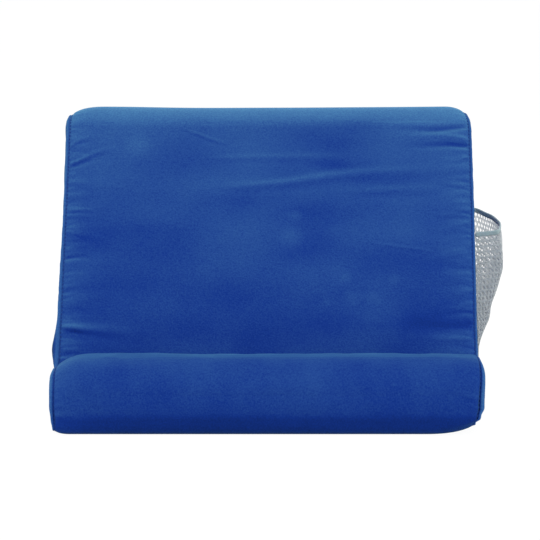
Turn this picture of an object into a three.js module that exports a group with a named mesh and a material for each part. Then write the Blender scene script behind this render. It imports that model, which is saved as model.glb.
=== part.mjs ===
// Tablet pillow stand: a foam wedge in a plush cover with a padded lip along its front foot.
// A tablet leans on the sloping face and its lower edge sits in the groove behind the lip.
// A net pocket with a bound mouth is sewn to the right side.
//
// Millimetres. X runs across the stand, Y from its front to its back, Z up.
// The origin is on the floor, halfway between the side seams and halfway from front to back.
import * as THREE from "three";

const { clamp, lerp, smoothstep } = THREE.MathUtils;

const SEAM_WIDTH = 281; // from the left side seam to the right one
const DEPTH = 255;
const HEIGHT = 195;
const LIP_HEIGHT = 48.3;
const LIP_DEPTH = 54;
const GROOVE_FLOOR = 17; // height of the groove's bottom over the floor

const HALF = SEAM_WIDTH / 2;
const FRONT = -DEPTH / 2;
const BACK = DEPTH / 2;

// The stand's outline seen from the right side, as a belt that runs round these corner circles.
// turn is 1 where the belt turns round the outside of a circle and -1 in the groove.
// A side seam pulls the cover in: reach is how far from the seam that starts, tuck how far the
// cover goes into the stand at the seam, raise how far it goes up, and draw how far the seam moves
// towards the stand's middle. settle is how far past the corner the next side's own pull starts.
const CORNERS = [
  {
    name: "foot", y: FRONT + 11, z: 11, radius: 11, turn: 1, steps: 6, settle: 36,
    left: { reach: 9, tuck: 4.5, raise: 1, draw: 1 },
    right: { reach: 36, tuck: 6, raise: 6.5, draw: 3 },
  },
  {
    name: "heel", y: BACK - 14, z: 14, radius: 14, turn: 1, steps: 6, settle: 26,
    left: { reach: 12, tuck: 6, raise: 0, draw: 1 },
    right: { reach: 14, tuck: 6, raise: 0, draw: 1 },
  },
  {
    name: "apex", y: 78, z: HEIGHT - 24, radius: 24, turn: 1, steps: 10, settle: 8,
    left: { reach: 27, tuck: 7.5, raise: 0, draw: 0.5 },
    right: { reach: 16, tuck: 6, raise: 0, draw: 1.5 },
  },
  {
    name: "groove", y: FRONT + LIP_DEPTH + 0.5, z: GROOVE_FLOOR + 3, radius: 3, turn: -1, steps: 5,
    settle: 20,
    left: { reach: 9, tuck: 1.5, raise: 0, draw: 1 },
    right: { reach: 9, tuck: 1.5, raise: 0, draw: 1 },
  },
  {
    name: "lip back", y: FRONT + 35, z: LIP_HEIGHT - 18, radius: 18, turn: 1, steps: 6, settle: 20,
    left: { reach: 24, tuck: 9, raise: 0, draw: 1 },
    right: { reach: 16, tuck: 6, raise: 0, draw: 1.5 },
  },
  {
    name: "lip front", y: FRONT + 23, z: LIP_HEIGHT - 22, radius: 22, turn: 1, steps: 7, settle: 20,
    left: { reach: 24, tuck: 9, raise: 0, draw: 1 },
    right: { reach: 16, tuck: 6, raise: 0, draw: 1.5 },
  },
];

// The side that follows each corner. bow is the cushion's swell along the side, and crown the
// further swell in the middle of the stand's width.
const SIDES = {
  foot: { name: "base", bow: 0, crown: 0, reach: 6, tuck: 2, raise: 0, draw: 0, steps: 14 },
  heel: { name: "back", bow: 1, crown: 2, reach: 8, tuck: 3, raise: 0, draw: 0, steps: 10 },
  apex: { name: "slope", bow: 1.5, crown: 1.5, reach: 7, tuck: 2.5, raise: 0, draw: 0, steps: 14 },
  groove: { name: "lip rear", bow: 0.3, crown: 0, reach: 14, tuck: 5, raise: 0, draw: 1, steps: 3 },
  "lip back": { name: "lip top", bow: 0, crown: 0, reach: 20, tuck: 7, raise: 0, draw: 1.2, steps: 2 },
  "lip front": { name: "lip face", bow: 0.6, crown: 0.5, reach: 12, tuck: 4.5, raise: 0, draw: 1.2, steps: 4 },
};

// Distances from the seam at which the cover's sections stand, for either half of the width.
const SECTION_FROM_SEAM = [0, 0.7, 2, 4, 7, 11, 17, 26, 40, 65, 100, HALF];
// Rings of each side panel, as shares of the way from its middle out to the seam.
const PANEL_RINGS = [0.97, 0.92, 0.84, 0.72, 0.55, 0.35, 0.15];
const PANEL_MIDDLE = { y: FRONT + LIP_DEPTH + 2, z: 7 };
const PANEL_BULGE = { left: 3, right: 3.8 };
const PANEL_BULGE_REACH = 32;
const SEAM_STEP = 1.5; // between the points at which a seam's pull on its panel is taken
const DRAW_REACH = 40; // how far from a seam its draw is still felt
const RIDGE_SAG = 1; // how far the ridge hangs lower in the middle of its width

const GAP = 0.42; // between sewn pieces, so that their flat facets keep 0.3

const NET_THICKNESS = 1.2;
const NET_EDGE_INSET = 3.5; // from the wedge's seams to the net's front and back edges
const NET_HEM_HEIGHT = 7; // of the net's bottom edge over the floor
const NET_TOE = FRONT + LIP_DEPTH + 15; // the net's front edge stops here, clear of the groove
const NET_STEPS = { across: 22, up: 20 };
const MOUTH = { frontHeight: 112, backHeight: 115, dip: 1 };
// How far the net stands off the side panel at each height over the floor.
const NET_FOLDS = [
  { height: 7, standOff: 0 },
  { height: 41, standOff: 0.2 },
  { height: 47, standOff: 2.2 },
  { height: 51, standOff: 5 },
  { height: 55, standOff: 7.2 },
  { height: 61, standOff: 8.2 },
  { height: 66, standOff: 9 },
  { height: 72, standOff: 11.6 },
  { height: 80, standOff: 14.4 },
  { height: 89, standOff: 17.3 },
  { height: 98, standOff: 18.2 },
  { height: 107, standOff: 17 },
  { height: 120, standOff: 15.4 },
];
const NET_FULLEST = 0.36; // share of the way from the net's front edge to its back edge

const BINDING = { tall: 4.6, thick: 2.8 };

// The belt's straight run between two corner circles: its outward normal.
function runNormal(from, to) {
  const along = new THREE.Vector2(to.y - from.y, to.z - from.z);
  const length = along.length();
  along.divideScalar(length);
  const share = (from.turn * from.radius - to.turn * to.radius) / length;
  const across = new THREE.Vector2(along.y, -along.x);
  return along.multiplyScalar(share).addScaledVector(across, Math.sqrt(1 - share * share));
}

function onCircle(corner, normal) {
  const out = corner.turn * corner.radius;
  return new THREE.Vector2(corner.y + out * normal.x, corner.z + out * normal.y);
}

// One seam's pull at a distance along the outline, between the stations that stand before and
// after it.
function pullAt(stations, girth, along, hand) {
  const after = stations.findIndex((station) => station.along > along);
  const near = stations.at(after < 1 ? -1 : after - 1);
  const far = stations[Math.max(after, 0)];
  const start = near.along > along ? near.along - girth : near.along;
  const end = far.along < start ? far.along + girth : far.along;
  const share = smoothstep(along, start, end);
  const mix = (name) => lerp(near[hand][name], far[hand][name], share);
  return { reach: mix("reach"), tuck: mix("tuck"), raise: mix("raise"), draw: mix("draw") };
}

// The outline as points with their outward normals, their crown and their pull at each seam.
function beltOutline() {
  const points = [];
  const stations = [];
  let along = 0;
  CORNERS.forEach((corner, i) => {
    const before = CORNERS.at(i - 1);
    const next = CORNERS[(i + 1) % CORNERS.length];
    const arriving = runNormal(before, corner);
    const leaving = runNormal(corner, next);
    let sweep = leaving.angle() - arriving.angle();
    if (corner.turn > 0 && sweep < 0) sweep += 2 * Math.PI;
    if (corner.turn < 0 && sweep > 0) sweep -= 2 * Math.PI;
    const arc = corner.radius * Math.abs(sweep);
    for (let k = 0; k <= corner.steps; k++) {
      const share = k / corner.steps;
      const angle = arriving.angle() + sweep * share;
      const normal = new THREE.Vector2(Math.cos(angle), Math.sin(angle));
      const crown = corner.name === "apex" ? -RIDGE_SAG * Math.sin(Math.PI * share) : 0;
      points.push({ at: onCircle(corner, normal), normal, crown, along: along + arc * share });
    }
    stations.push({ along: along + arc / 2, left: corner.left, right: corner.right });
    along += arc;

    const side = SIDES[corner.name];
    const start = onCircle(corner, leaving);
    const end = onCircle(next, leaving);
    const length = start.distanceTo(end);
    for (let k = 1; k < side.steps; k++) {
      const share = k / side.steps;
      const swell = Math.sin(Math.PI * share);
      const at = start.clone().lerp(end, share).addScaledVector(leaving, side.bow * swell);
      points.push({ at, normal: leaving, crown: side.crown * swell, along: along + length * share });
    }
    const first = Math.min(corner.settle, length / 2);
    const last = Math.max(length - next.settle, length / 2);
    stations.push({ along: along + first, left: side, right: side });
    stations.push({ along: along + last, left: side, right: side });
    along += length;
  });
  return points.map((point) => ({
    ...point,
    left: pullAt(stations, along, point.along, "left"),
    right: pullAt(stations, along, point.along, "right"),
  }));
}

const OUTLINE = beltOutline();

// The cover's section at a distance from the left or right seam.
function coverSection(hand, fromSeam) {
  const sign = hand === "left" ? -1 : 1;
  return OUTLINE.map((point) => {
    const { reach, tuck, raise, draw } = point[hand];
    const closeness = clamp(1 - fromSeam / reach, 0, 1);
    const depth = 1 - Math.sqrt(1 - closeness * closeness);
    const x = HALF - fromSeam - draw * clamp(1 - fromSeam / DRAW_REACH, 0, 1) ** 2;
    const swell = point.crown * (1 - (x / HALF) ** 2) - tuck * depth;
    const y = point.at.x + point.normal.x * swell;
    const z = point.at.y + point.normal.y * swell + raise * depth;
    return new THREE.Vector3(sign * x, y, z);
  });
}

// Points every SEAM_STEP or less along a seam.
function seamPoints(seam) {
  return seam.flatMap((p, i) => {
    const q = seam[(i + 1) % seam.length];
    const pieces = Math.ceil(p.distanceTo(q) / SEAM_STEP);
    const step = p.distanceTo(q) / pieces;
    return Array.from({ length: pieces }, (_, k) => {
      const share = (k + 0.5) / pieces;
      return { y: lerp(p.y, q.y, share), z: lerp(p.z, q.z, share), step };
    });
  });
}

// How far a side panel swells out of the plane of its seam. A long straight seam's pull at a
// distance d comes to 2 / d squared, so depth is d there, and it is less in a corner.
function panelBulge(hand, points, y, z) {
  const pull = points.reduce((sum, p) => {
    const distance = Math.max(Math.hypot(p.y - y, p.z - z), SEAM_STEP / 4);
    return sum + p.step / distance ** 3;
  }, 0);
  const depth = Math.sqrt(2 / pull);
  const share = clamp(depth / PANEL_BULGE_REACH, 0, 1);
  return PANEL_BULGE[hand] * (1 - (1 - share) ** 2);
}

function panelRing(hand, seam, share) {
  const sign = hand === "left" ? -1 : 1;
  const points = seamPoints(seam);
  return seam.map((p) => {
    const y = lerp(PANEL_MIDDLE.y, p.y, share);
    const z = lerp(PANEL_MIDDLE.z, p.z, share);
    const x = lerp(HALF, Math.abs(p.x), share * share) + panelBulge(hand, points, y, z);
    return new THREE.Vector3(sign * x, y, z);
  });
}

function meshOf(positions, triangles) {
  const geometry = new THREE.BufferGeometry();
  geometry.setAttribute(
    "position",
    new THREE.Float32BufferAttribute(positions.flatMap((p) => p.toArray()), 3),
  );
  geometry.setIndex(triangles);
  geometry.computeVertexNormals();
  return geometry;
}

// A closed body through rings of equally many points, closed at both ends by a middle point.
function loftGeometry(rings, firstMiddle, lastMiddle) {
  const count = rings[0].length;
  const positions = [...rings.flat(), firstMiddle, lastMiddle];
  const first = rings.length * count;
  const triangles = [];
  for (let k = 0; k < count; k++) {
    const next = (k + 1) % count;
    triangles.push(first, next, k);
    const end = (rings.length - 1) * count;
    triangles.push(first + 1, end + k, end + next);
    for (let r = 0; r + 1 < rings.length; r++) {
      const here = r * count;
      const there = here + count;
      triangles.push(here + k, here + next, there + next);
      triangles.push(here + k, there + next, there + k);
    }
  }
  return meshOf(positions, triangles);
}

// A closed sheet between two equal grids of points, each a list of columns.
function sheetGeometry(outer, inner) {
  const columns = outer.length;
  const rows = outer[0].length;
  const positions = [...outer.flat(), ...inner.flat()];
  const out = (i, j) => i * rows + j;
  const back = (i, j) => columns * rows + i * rows + j;
  const triangles = [];
  const quad = (a, b, c, d) => triangles.push(a, b, c, a, c, d);
  for (let i = 0; i + 1 < columns; i++) {
    for (let j = 0; j + 1 < rows; j++) {
      quad(out(i, j), out(i + 1, j), out(i + 1, j + 1), out(i, j + 1));
      quad(back(i, j), back(i, j + 1), back(i + 1, j + 1), back(i + 1, j));
    }
    quad(back(i, 0), back(i + 1, 0), out(i + 1, 0), out(i, 0));
    const top = rows - 1;
    quad(out(i, top), out(i + 1, top), back(i + 1, top), back(i, top));
  }
  for (let j = 0; j + 1 < rows; j++) {
    quad(back(0, j), out(0, j), out(0, j + 1), back(0, j + 1));
    const end = columns - 1;
    quad(out(end, j), back(end, j), back(end, j + 1), out(end, j + 1));
  }
  return meshOf(positions, triangles);
}

function cushionGeometry() {
  const leftSections = SECTION_FROM_SEAM.map((d) => coverSection("left", d));
  const rightSections = SECTION_FROM_SEAM.slice(0, -1).map((d) => coverSection("right", d));
  const leftPanel = PANEL_RINGS.map((share) => panelRing("left", leftSections[0], share));
  const rightPanel = PANEL_RINGS.map((share) => panelRing("right", rightSections[0], share));
  const middle = (hand, seam, sign) => {
    const { y, z } = PANEL_MIDDLE;
    return new THREE.Vector3(sign * (HALF + panelBulge(hand, seamPoints(seam), y, z)), y, z);
  };
  const rings = [...leftPanel.reverse(), ...leftSections, ...rightSections.reverse(), ...rightPanel];
  return loftGeometry(
    rings,
    middle("left", leftSections[0], -1),
    middle("right", rightSections.at(-1), 1),
  );
}

const RIGHT_SEAM = coverSection("right", 0);
const RIGHT_SEAM_POINTS = seamPoints(RIGHT_SEAM);

// The front and back edges of the net at a height, a little inside the wedge's own seams.
function netEdges(height) {
  const crossings = [];
  RIGHT_SEAM.forEach((p, i) => {
    const q = RIGHT_SEAM[(i + 1) % RIGHT_SEAM.length];
    if ((p.z - height) * (q.z - height) > 0 || p.z === q.z) return;
    const y = lerp(p.y, q.y, (height - p.z) / (q.z - p.z));
    if (y > PANEL_MIDDLE.y) crossings.push(y);
  });
  const back = Math.max(...crossings) - NET_EDGE_INSET;
  const slope = Math.min(...crossings) + NET_EDGE_INSET;
  return { front: slope < back ? Math.max(slope, NET_TOE) : NET_TOE, back };
}

function netStandOff(height) {
  const above = NET_FOLDS.findIndex((row) => row.height >= height);
  if (above < 1) return NET_FOLDS.at(above === 0 ? 0 : -1).standOff;
  const low = NET_FOLDS[above - 1];
  const high = NET_FOLDS[above];
  const share = (height - low.height) / (high.height - low.height);
  return lerp(low.standOff, high.standOff, share);
}

function mouthHeight(across) {
  const level = lerp(MOUTH.frontHeight, MOUTH.backHeight, across);
  return level - MOUTH.dip * Math.sin(Math.PI * across);
}

// The net's outer or inner face: across is 0 at its front edge, up is 0 at its bottom edge.
function netPoint(across, up, lift) {
  const z = lerp(NET_HEM_HEIGHT, mouthHeight(across), up);
  const { front, back } = netEdges(z);
  const y = lerp(front, back, across);
  const skew = Math.log(0.5) / Math.log(NET_FULLEST);
  const fullness = Math.sin(Math.PI * across ** skew);
  const side = HALF + panelBulge("right", RIGHT_SEAM_POINTS, y, z);
  return new THREE.Vector3(side + GAP + netStandOff(z) * fullness + lift, y, z);
}

function netFace(lift) {
  const columns = [];
  for (let i = 0; i <= NET_STEPS.across; i++) {
    const column = [];
    for (let j = 0; j <= NET_STEPS.up; j++) {
      column.push(netPoint(i / NET_STEPS.across, j / NET_STEPS.up, lift));
    }
    columns.push(column);
  }
  return columns;
}

function netGeometry() {
  return sheetGeometry(netFace(NET_THICKNESS), netFace(0));
}

// The binding stands on the net's top edge, a flat tape folded over into a bar.
function bindingGeometry() {
  const rings = [];
  for (let i = 0; i <= NET_STEPS.across; i++) {
    const across = i / NET_STEPS.across;
    const foot = netPoint(across, 1, (NET_THICKNESS - BINDING.thick) / 2);
    foot.x = Math.max(foot.x, netPoint(across, 1, 0).x);
    const corner = (out, up) =>
      new THREE.Vector3(foot.x + out * BINDING.thick, foot.y, foot.z + GAP + up * BINDING.tall);
    rings.push([
      corner(0, 0.1), corner(0, 0.9), corner(0.25, 1), corner(0.75, 1),
      corner(1, 0.9), corner(1, 0.1), corner(0.75, 0), corner(0.25, 0),
    ]);
  }
  const middle = (ring) =>
    ring.reduce((sum, p) => sum.add(p), new THREE.Vector3()).divideScalar(ring.length);
  return loftGeometry(rings, middle(rings[0]), middle(rings.at(-1)));
}

function piece(name, geometry, color, roughness) {
  const material = new THREE.MeshStandardMaterial({ color, roughness, metalness: 0 });
  const mesh = new THREE.Mesh(geometry, material);
  mesh.name = name;
  return mesh;
}

const stand = new THREE.Group();
stand.add(piece("cushion", cushionGeometry(), 0x1f4590, 0.9));
stand.add(piece("pocket_net", netGeometry(), 0x98a0a4, 0.8));
stand.add(piece("pocket_binding", bindingGeometry(), 0x6f8494, 0.75));

export default stand;
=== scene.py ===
"""A tablet pillow stand: a foam wedge in a plush cover, with a padded lip and a net side pocket.

Shapes are worked out in millimetres, in the frame's axes, and become metres as their meshes are
made. X runs across the stand, Y from its front to its back and Z up. The cover's long panel is a
belt that runs round the stand's outline, and a side panel closes it at either end.
"""

from __future__ import annotations

import logging
import math
from dataclasses import astuple, dataclass, field
from enum import Enum

import bmesh
import bpy
import numpy as np
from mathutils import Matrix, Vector
from mathutils.bvhtree import BVHTree
from mathutils.geometry import delaunay_2d_cdt
from mathutils.kdtree import KDTree


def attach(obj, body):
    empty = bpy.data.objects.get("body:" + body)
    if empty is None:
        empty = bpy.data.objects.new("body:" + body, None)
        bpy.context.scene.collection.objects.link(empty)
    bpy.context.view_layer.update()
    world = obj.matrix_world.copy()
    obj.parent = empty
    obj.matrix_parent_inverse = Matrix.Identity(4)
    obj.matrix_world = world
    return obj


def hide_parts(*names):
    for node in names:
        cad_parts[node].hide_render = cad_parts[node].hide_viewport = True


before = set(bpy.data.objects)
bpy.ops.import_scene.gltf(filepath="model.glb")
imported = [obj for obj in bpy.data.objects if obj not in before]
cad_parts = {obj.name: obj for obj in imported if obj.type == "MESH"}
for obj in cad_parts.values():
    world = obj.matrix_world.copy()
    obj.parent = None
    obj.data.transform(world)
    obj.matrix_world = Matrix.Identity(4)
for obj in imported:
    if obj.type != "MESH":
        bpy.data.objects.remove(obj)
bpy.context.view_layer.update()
LOG = logging.getLogger("stand")
MM = 0.001
BODY = "root"
STITCH_INSET = 0.35


class Hand(Enum):
    """The two ends of the stand."""

    LEFT = -1
    RIGHT = 1


# ---------------------------------------------------------------- the cover's outline


@dataclass(frozen=True)
class Pull:
    """How a side seam shapes the cover at one place on the outline.

    reach is how far from the seam the cover starts to go in, and tuck how far it is in at the
    seam. lift raises the seam and draw moves it towards the stand's middle. roll is the radius of
    the side panel's narrow roll outside the seam, and slump how steeply that falls away. A larger
    sharp keeps the cover flatter before it turns down. crease is how deep the seam itself lies.
    """

    reach: float
    tuck: float
    lift: float = 0.0
    draw: float = 0.0
    roll: float = 1.2
    sharp: float = 3.0
    slump: float = 1.0
    crease: float = 0.5


@dataclass(frozen=True)
class Corner:
    """A circle that the outline turns round: turn is 1 outside it and -1 in the groove."""

    name: str
    y: float
    z: float
    radius: float
    turn: int
    settle: float
    left: Pull
    right: Pull


@dataclass(frozen=True)
class Run:
    """The outline's straight run after a corner, with its swell and its pull at both seams.

    Where the pull at its far end differs from that at its start, left_end or right_end has it,
    and end_settle is how far before the next corner it is reached.
    """

    name: str
    bow: float
    crown: float
    left: Pull
    right: Pull
    left_end: Pull | None = None
    right_end: Pull | None = None
    end_settle: float | None = None
    fineness: float = 1.0


@dataclass
class OutlineRows:
    """The outline's points in order, one row of the belt each, as arrays."""

    along: np.ndarray
    at: np.ndarray
    normal: np.ndarray
    crown: np.ndarray
    part: np.ndarray
    pulls: dict[Hand, np.ndarray]


@dataclass
class CoverOutline:
    """The stand's outline seen from its right side, from the front foot round under the base."""

    seam_at: dict[Hand, float] = field(default_factory=lambda: {Hand.LEFT: 139.2, Hand.RIGHT: 141.2})
    depth: float = 255.0
    height: float = 195.0
    lip_height: float = 47.7
    lip_depth: float = 54.0
    groove_floor: float = 17.0
    ridge_sag: float = 1.0
    draw_reach: float = 40.0

    def corners(self) -> list[Corner]:
        """The corner circles, in the order in which the belt meets them."""
        front, back = -self.depth / 2, self.depth / 2
        groove_y = front + self.lip_depth + 0.5
        lip = self.lip_height
        back_left = front_left = Pull(24, 8.5, 0, 0.3, 1.8, 2.6, 2.6, 0.9)
        back_right = Pull(10, 0.8, 0, 3.2, 0.8, 3.0, 2.0, 0.5)
        front_right = Pull(12, 1.8, 0, 2.2, 1.7, 2.4, 1.8, 1.4)
        groove_pull = Pull(9, 1.5, 0, 1, 1.4)
        foot_left = Pull(12, 2.0, 0, 0.9, 0.8, 3, 1, 0.4)
        foot_right = Pull(40, 2.0, 4.0, 6.8, 0.7, 2.4, 1, 0.2)
        apex_left = Pull(27, 5.8, 0, 1.8, 2.8, 3, 3.4, 0.8)
        apex_right = Pull(16, 4.6, 0, 2.6, 1.7, 2.5, 3.4, 0.3)
        return [
            Corner("foot", front + 8.5, 8.5, 8.5, 1, 42, foot_left, foot_right),
            Corner("heel", back - 14, 14, 14, 1, 26, Pull(12, 2.6, 0, 0.5), Pull(14, 2.6, 0, 0.5)),
            Corner("apex", 78, self.height - 24, 24, 1, 8, apex_left, apex_right),
            Corner("groove", groove_y, self.groove_floor + 3, 3, -1, 20, groove_pull, groove_pull),
            Corner("lip back", front + 35, lip - 18, 18, 1, 20, back_left, back_right),
            Corner("lip front", front + 23, lip - 22, 22, 1, 20, front_left, front_right),
        ]

    def runs(self) -> dict[str, Run]:
        """The run that follows each corner."""
        lip_left = Pull(24, 8, 0, 0.3, 1.8, 2.6, 2.2, 0.9)
        lip_right = Pull(10, 1.0, 0, 2.7, 1.2, 3.0, 2.0, 1.0)
        face_left = Pull(9, 3, 0, 0.4, 1.6, 3, 1, 1.1)
        face_right = Pull(9, 3, 0, 3.4, 2.0, 3, 1, 1.9)
        chin_left = Pull(11, 2.8, 0, 0.7, 1.3, 3, 1, 1.3)
        chin_right = Pull(20, 2.2, 0.8, 4.4, 1.3, 3, 1, 1.4)
        slope_left = Pull(16, 2.6, 0, 0.9, 0.95, 2.4, 1, 0.12)
        slope_right = Pull(14, 2.2, 0, 0, 1.0, 2.4, 1, 0.45)
        low_left = Pull(16, 2.6, 0, -0.3, 1.6, 2.4, 1, 0.12)
        low_right = Pull(14, 2.2, 0, 1.4, 1.0, 2.4, 1, 0.45)
        flat, base_right = Pull(6, 1.6), Pull(20, 1.6, 1, 6)
        return {
            "foot": Run("base", 0, 0, flat, base_right, flat, flat, fineness=0.4),
            "heel": Run("back", 1, 2, Pull(8, 2), Pull(8, 2), fineness=0.7),
            "apex": Run("slope", 1.5, 0.8, slope_left, slope_right, low_left, low_right),
            "groove": Run("lip rear", 0.3, 0, Pull(14, 4, 0, 0.5), Pull(14, 4, 0, 1.5)),
            "lip back": Run("lip top", 0, 0, lip_left, lip_right),
            "lip front": Run("lip face", 0.6, 0.5, face_left, face_right, chin_left, chin_right, 3),
        }

    @staticmethod
    def _leaving(near: Corner, far: Corner) -> np.ndarray:
        """The outward normal of the straight run from one corner circle to the next."""
        along = np.array([far.y - near.y, far.z - near.z])
        length = float(np.hypot(*along))
        along /= length
        share = (near.turn * near.radius - far.turn * far.radius) / length
        return along * share + np.array([along[1], -along[0]]) * math.sqrt(1 - share * share)

    def rows(self, step: float) -> OutlineRows:
        """The outline as rows about one step apart.

        Args:
            step: the distance between rows on the sloping face and the lip.

        Returns:
            The rows, with each one's pull at either seam.
        """
        corners, runs = self.corners(), self.runs()
        rows, stations = [], []
        gone = 0.0
        for i, corner in enumerate(corners):
            follower = corners[(i + 1) % len(corners)]
            arriving, leaving = self._leaving(corners[i - 1], corner), self._leaving(corner, follower)
            start = math.atan2(arriving[1], arriving[0])
            sweep = (math.atan2(leaving[1], leaving[0]) - start) % (2 * math.pi)
            if corner.turn < 0:
                sweep -= 2 * math.pi
            arc = corner.radius * abs(sweep)
            centre = np.array([corner.y, corner.z])
            count = max(4, math.ceil(arc / step))
            for share in np.linspace(0, 1, count + 1):
                out = np.array([math.cos(start + sweep * share), math.sin(start + sweep * share)])
                sag = -self.ridge_sag * math.sin(math.pi * share) if corner.name == "apex" else 0.0
                place = centre + corner.turn * corner.radius * out
                rows.append((gone + arc * share, place, out, sag, corner.name))
            stations.append((gone + arc / 2, corner.left, corner.right))
            gone += arc

            run = runs[corner.name]
            first = centre + corner.turn * corner.radius * leaving
            last = np.array([follower.y, follower.z]) + follower.turn * follower.radius * leaving
            length = float(np.hypot(*(last - first)))
            count = max(3, math.ceil(length * run.fineness / step))
            for share in np.linspace(0, 1, count + 1)[1:-1]:
                swell = math.sin(math.pi * share)
                place = first + (last - first) * share + leaving * run.bow * swell
                rows.append((gone + length * share, place, leaving, run.crown * swell, run.name))
            stations.append((gone + min(corner.settle, length / 2), run.left, run.right))
            ends = run.left_end or run.left, run.right_end or run.right
            settle = run.end_settle or follower.settle
            stations.append((gone + max(length - settle, length / 2), *ends))
            gone += length
        along, at, normal, crown, part = (np.array(column) for column in zip(*rows))
        pulls = {
            Hand.LEFT: self._blend(along, [(s, p) for s, p, _ in stations], gone),
            Hand.RIGHT: self._blend(along, [(s, p) for s, _, p in stations], gone),
        }
        return OutlineRows(along, at, normal, crown, part, pulls)

    @staticmethod
    def _blend(along: np.ndarray, stations: list[tuple[float, Pull]], girth: float) -> np.ndarray:
        """The pull at each row, eased from station to station round the outline."""
        places = np.array([place for place, _ in stations])
        values = np.array([astuple(pull) for _, pull in stations])
        places = np.concatenate([[places[-1] - girth], places, [places[0] + girth]])
        values = np.vstack([values[-1:], values, values[:1]])
        after = np.clip(np.searchsorted(places, along, side="right"), 1, len(places) - 1)
        gap = np.maximum(places[after] - places[after - 1], 1e-6)
        share = np.clip((along - places[after - 1]) / gap, 0, 1)
        share = (share * share * (3 - 2 * share))[:, None]
        return values[after - 1] * (1 - share) + values[after] * share


def measure(pulls: np.ndarray, name: str) -> np.ndarray:
    """One measure of a pull, by its name, at every row."""
    return pulls[..., list(Pull.__dataclass_fields__).index(name)]


# ---------------------------------------------------------------- folds and puckers in the cover


class Fade(Enum):
    """Where a fold fades out: at both its ends, or only away from the seam where it starts."""

    BOTH = "both"
    FAR = "far"


@dataclass(frozen=True)
class Fold:
    """A soft ridge, or a trough if its height is negative, along a path on the sloping face.

    The path's points are (x, down), where down is measured from the ridge of the stand. lee is
    how deep the hollow on the fold's lower side is, as a share of the fold's height. start is its
    width at its first point, as a share of its full width.
    """

    path: tuple[tuple[float, float], ...]
    width: float
    height: float
    lee: float = 0.5
    fade: Fade = Fade.FAR
    start: float = 0.6


@dataclass(frozen=True)
class NapAndPaintedLightPatch:
    """A patch that is paler if its tone is above 0 and darker below: brushed nap at some places, painted
    highlights and painted shade at others.
    """

    x: float
    down: float
    wide: float
    tall: float
    tone: float
    sharpness: float = 2.0


@dataclass(frozen=True)
class Gathers:
    """Small gathers along one stretch of a seam, at random places."""

    part: str
    pitch: float
    length: tuple[float, float]
    height: tuple[float, float]
    width: tuple[float, float]
    lean: float = 0.0


FOLDS = (
    Fold(((142, 24), (120, 29), (103, 29), (78, 28)), 3.4, -1.6, 0.0),
    Fold(((142, 34.5), (127, 34), (114, 33.5), (94, 36)), 2.4, 0.7, 0.0),
    Fold(((142, 40.5), (127, 41), (114, 42), (92, 43)), 3.5, -1.7, 0.0),
    Fold(((142, 49), (131, 53), (118, 53)), 2.6, 0.5, 0.9),
    Fold(((142, 61), (128, 62)), 2.2, 0.3, 0.8),
    Fold(((142, 72), (130, 73), (118, 72)), 1.8, 0.3, 0.8),
    Fold(((142, 98), (130, 97), (112, 99)), 1.8, 0.35, 0.8),
    Fold(((70, 121), (92, 124), (114, 127)), 1.4, 0.25, 0.0, Fade.BOTH),
    Fold(
        ((-34, 77), (-3, 74), (16, 72), (44, 67), (78, 63.5), (120, 61.5)), 3.9, 0.85, 0.2, Fade.BOTH
    ),
    Fold(((-44, 53), (-12, 52), (20, 51.5), (52, 51)), 3.0, 0.4, 0.3, Fade.BOTH),
    Fold(((54, 80), (88, 78), (124, 77)), 3.6, 0.4, 0.3, Fade.BOTH),
    Fold(((-58, 28.5), (-48, 32.5), (-38, 37), (-26, 41)), 1.4, 0.45, 0.3, Fade.BOTH),
    Fold(((-141, 56), (-130, 53), (-120, 47.5), (-104, 43)), 2.0, 0.9, 0.7),
    Fold(((-141, 41), (-129, 36), (-122, 34)), 1.7, 0.5, 0.9),
    Fold(((-141, 66), (-131, 64)), 1.5, 0.35, 1.0),
    Fold(((-141, 94), (-128, 93.5), (-114, 94)), 1.6, 0.5, 1.0),
    Fold(((-141, 131), (-132, 131), (-121, 131)), 1.6, -0.6, 0.4),
    Fold(((-141, 184), (-129, 185.5), (-117, 187), (-82, 190)), 5.2, 1.75, 0.0, start=0.2),
    Fold(((-132, 188.5), (-116, 191), (-100, 194.5), (-66, 199)), 5.2, -0.35, 0.0, start=0.15),
    Fold(((-141, 201.5), (-131, 202), (-119, 203)), 2.4, 0.6, 0.5),
    Fold(((143, 183.7), (122, 185.2), (86, 185)), 5.6, -0.9, 0.0),
    Fold(((143, 193), (127, 193.8), (106, 194)), 2.8, 0.75, 0.4),
)

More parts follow.
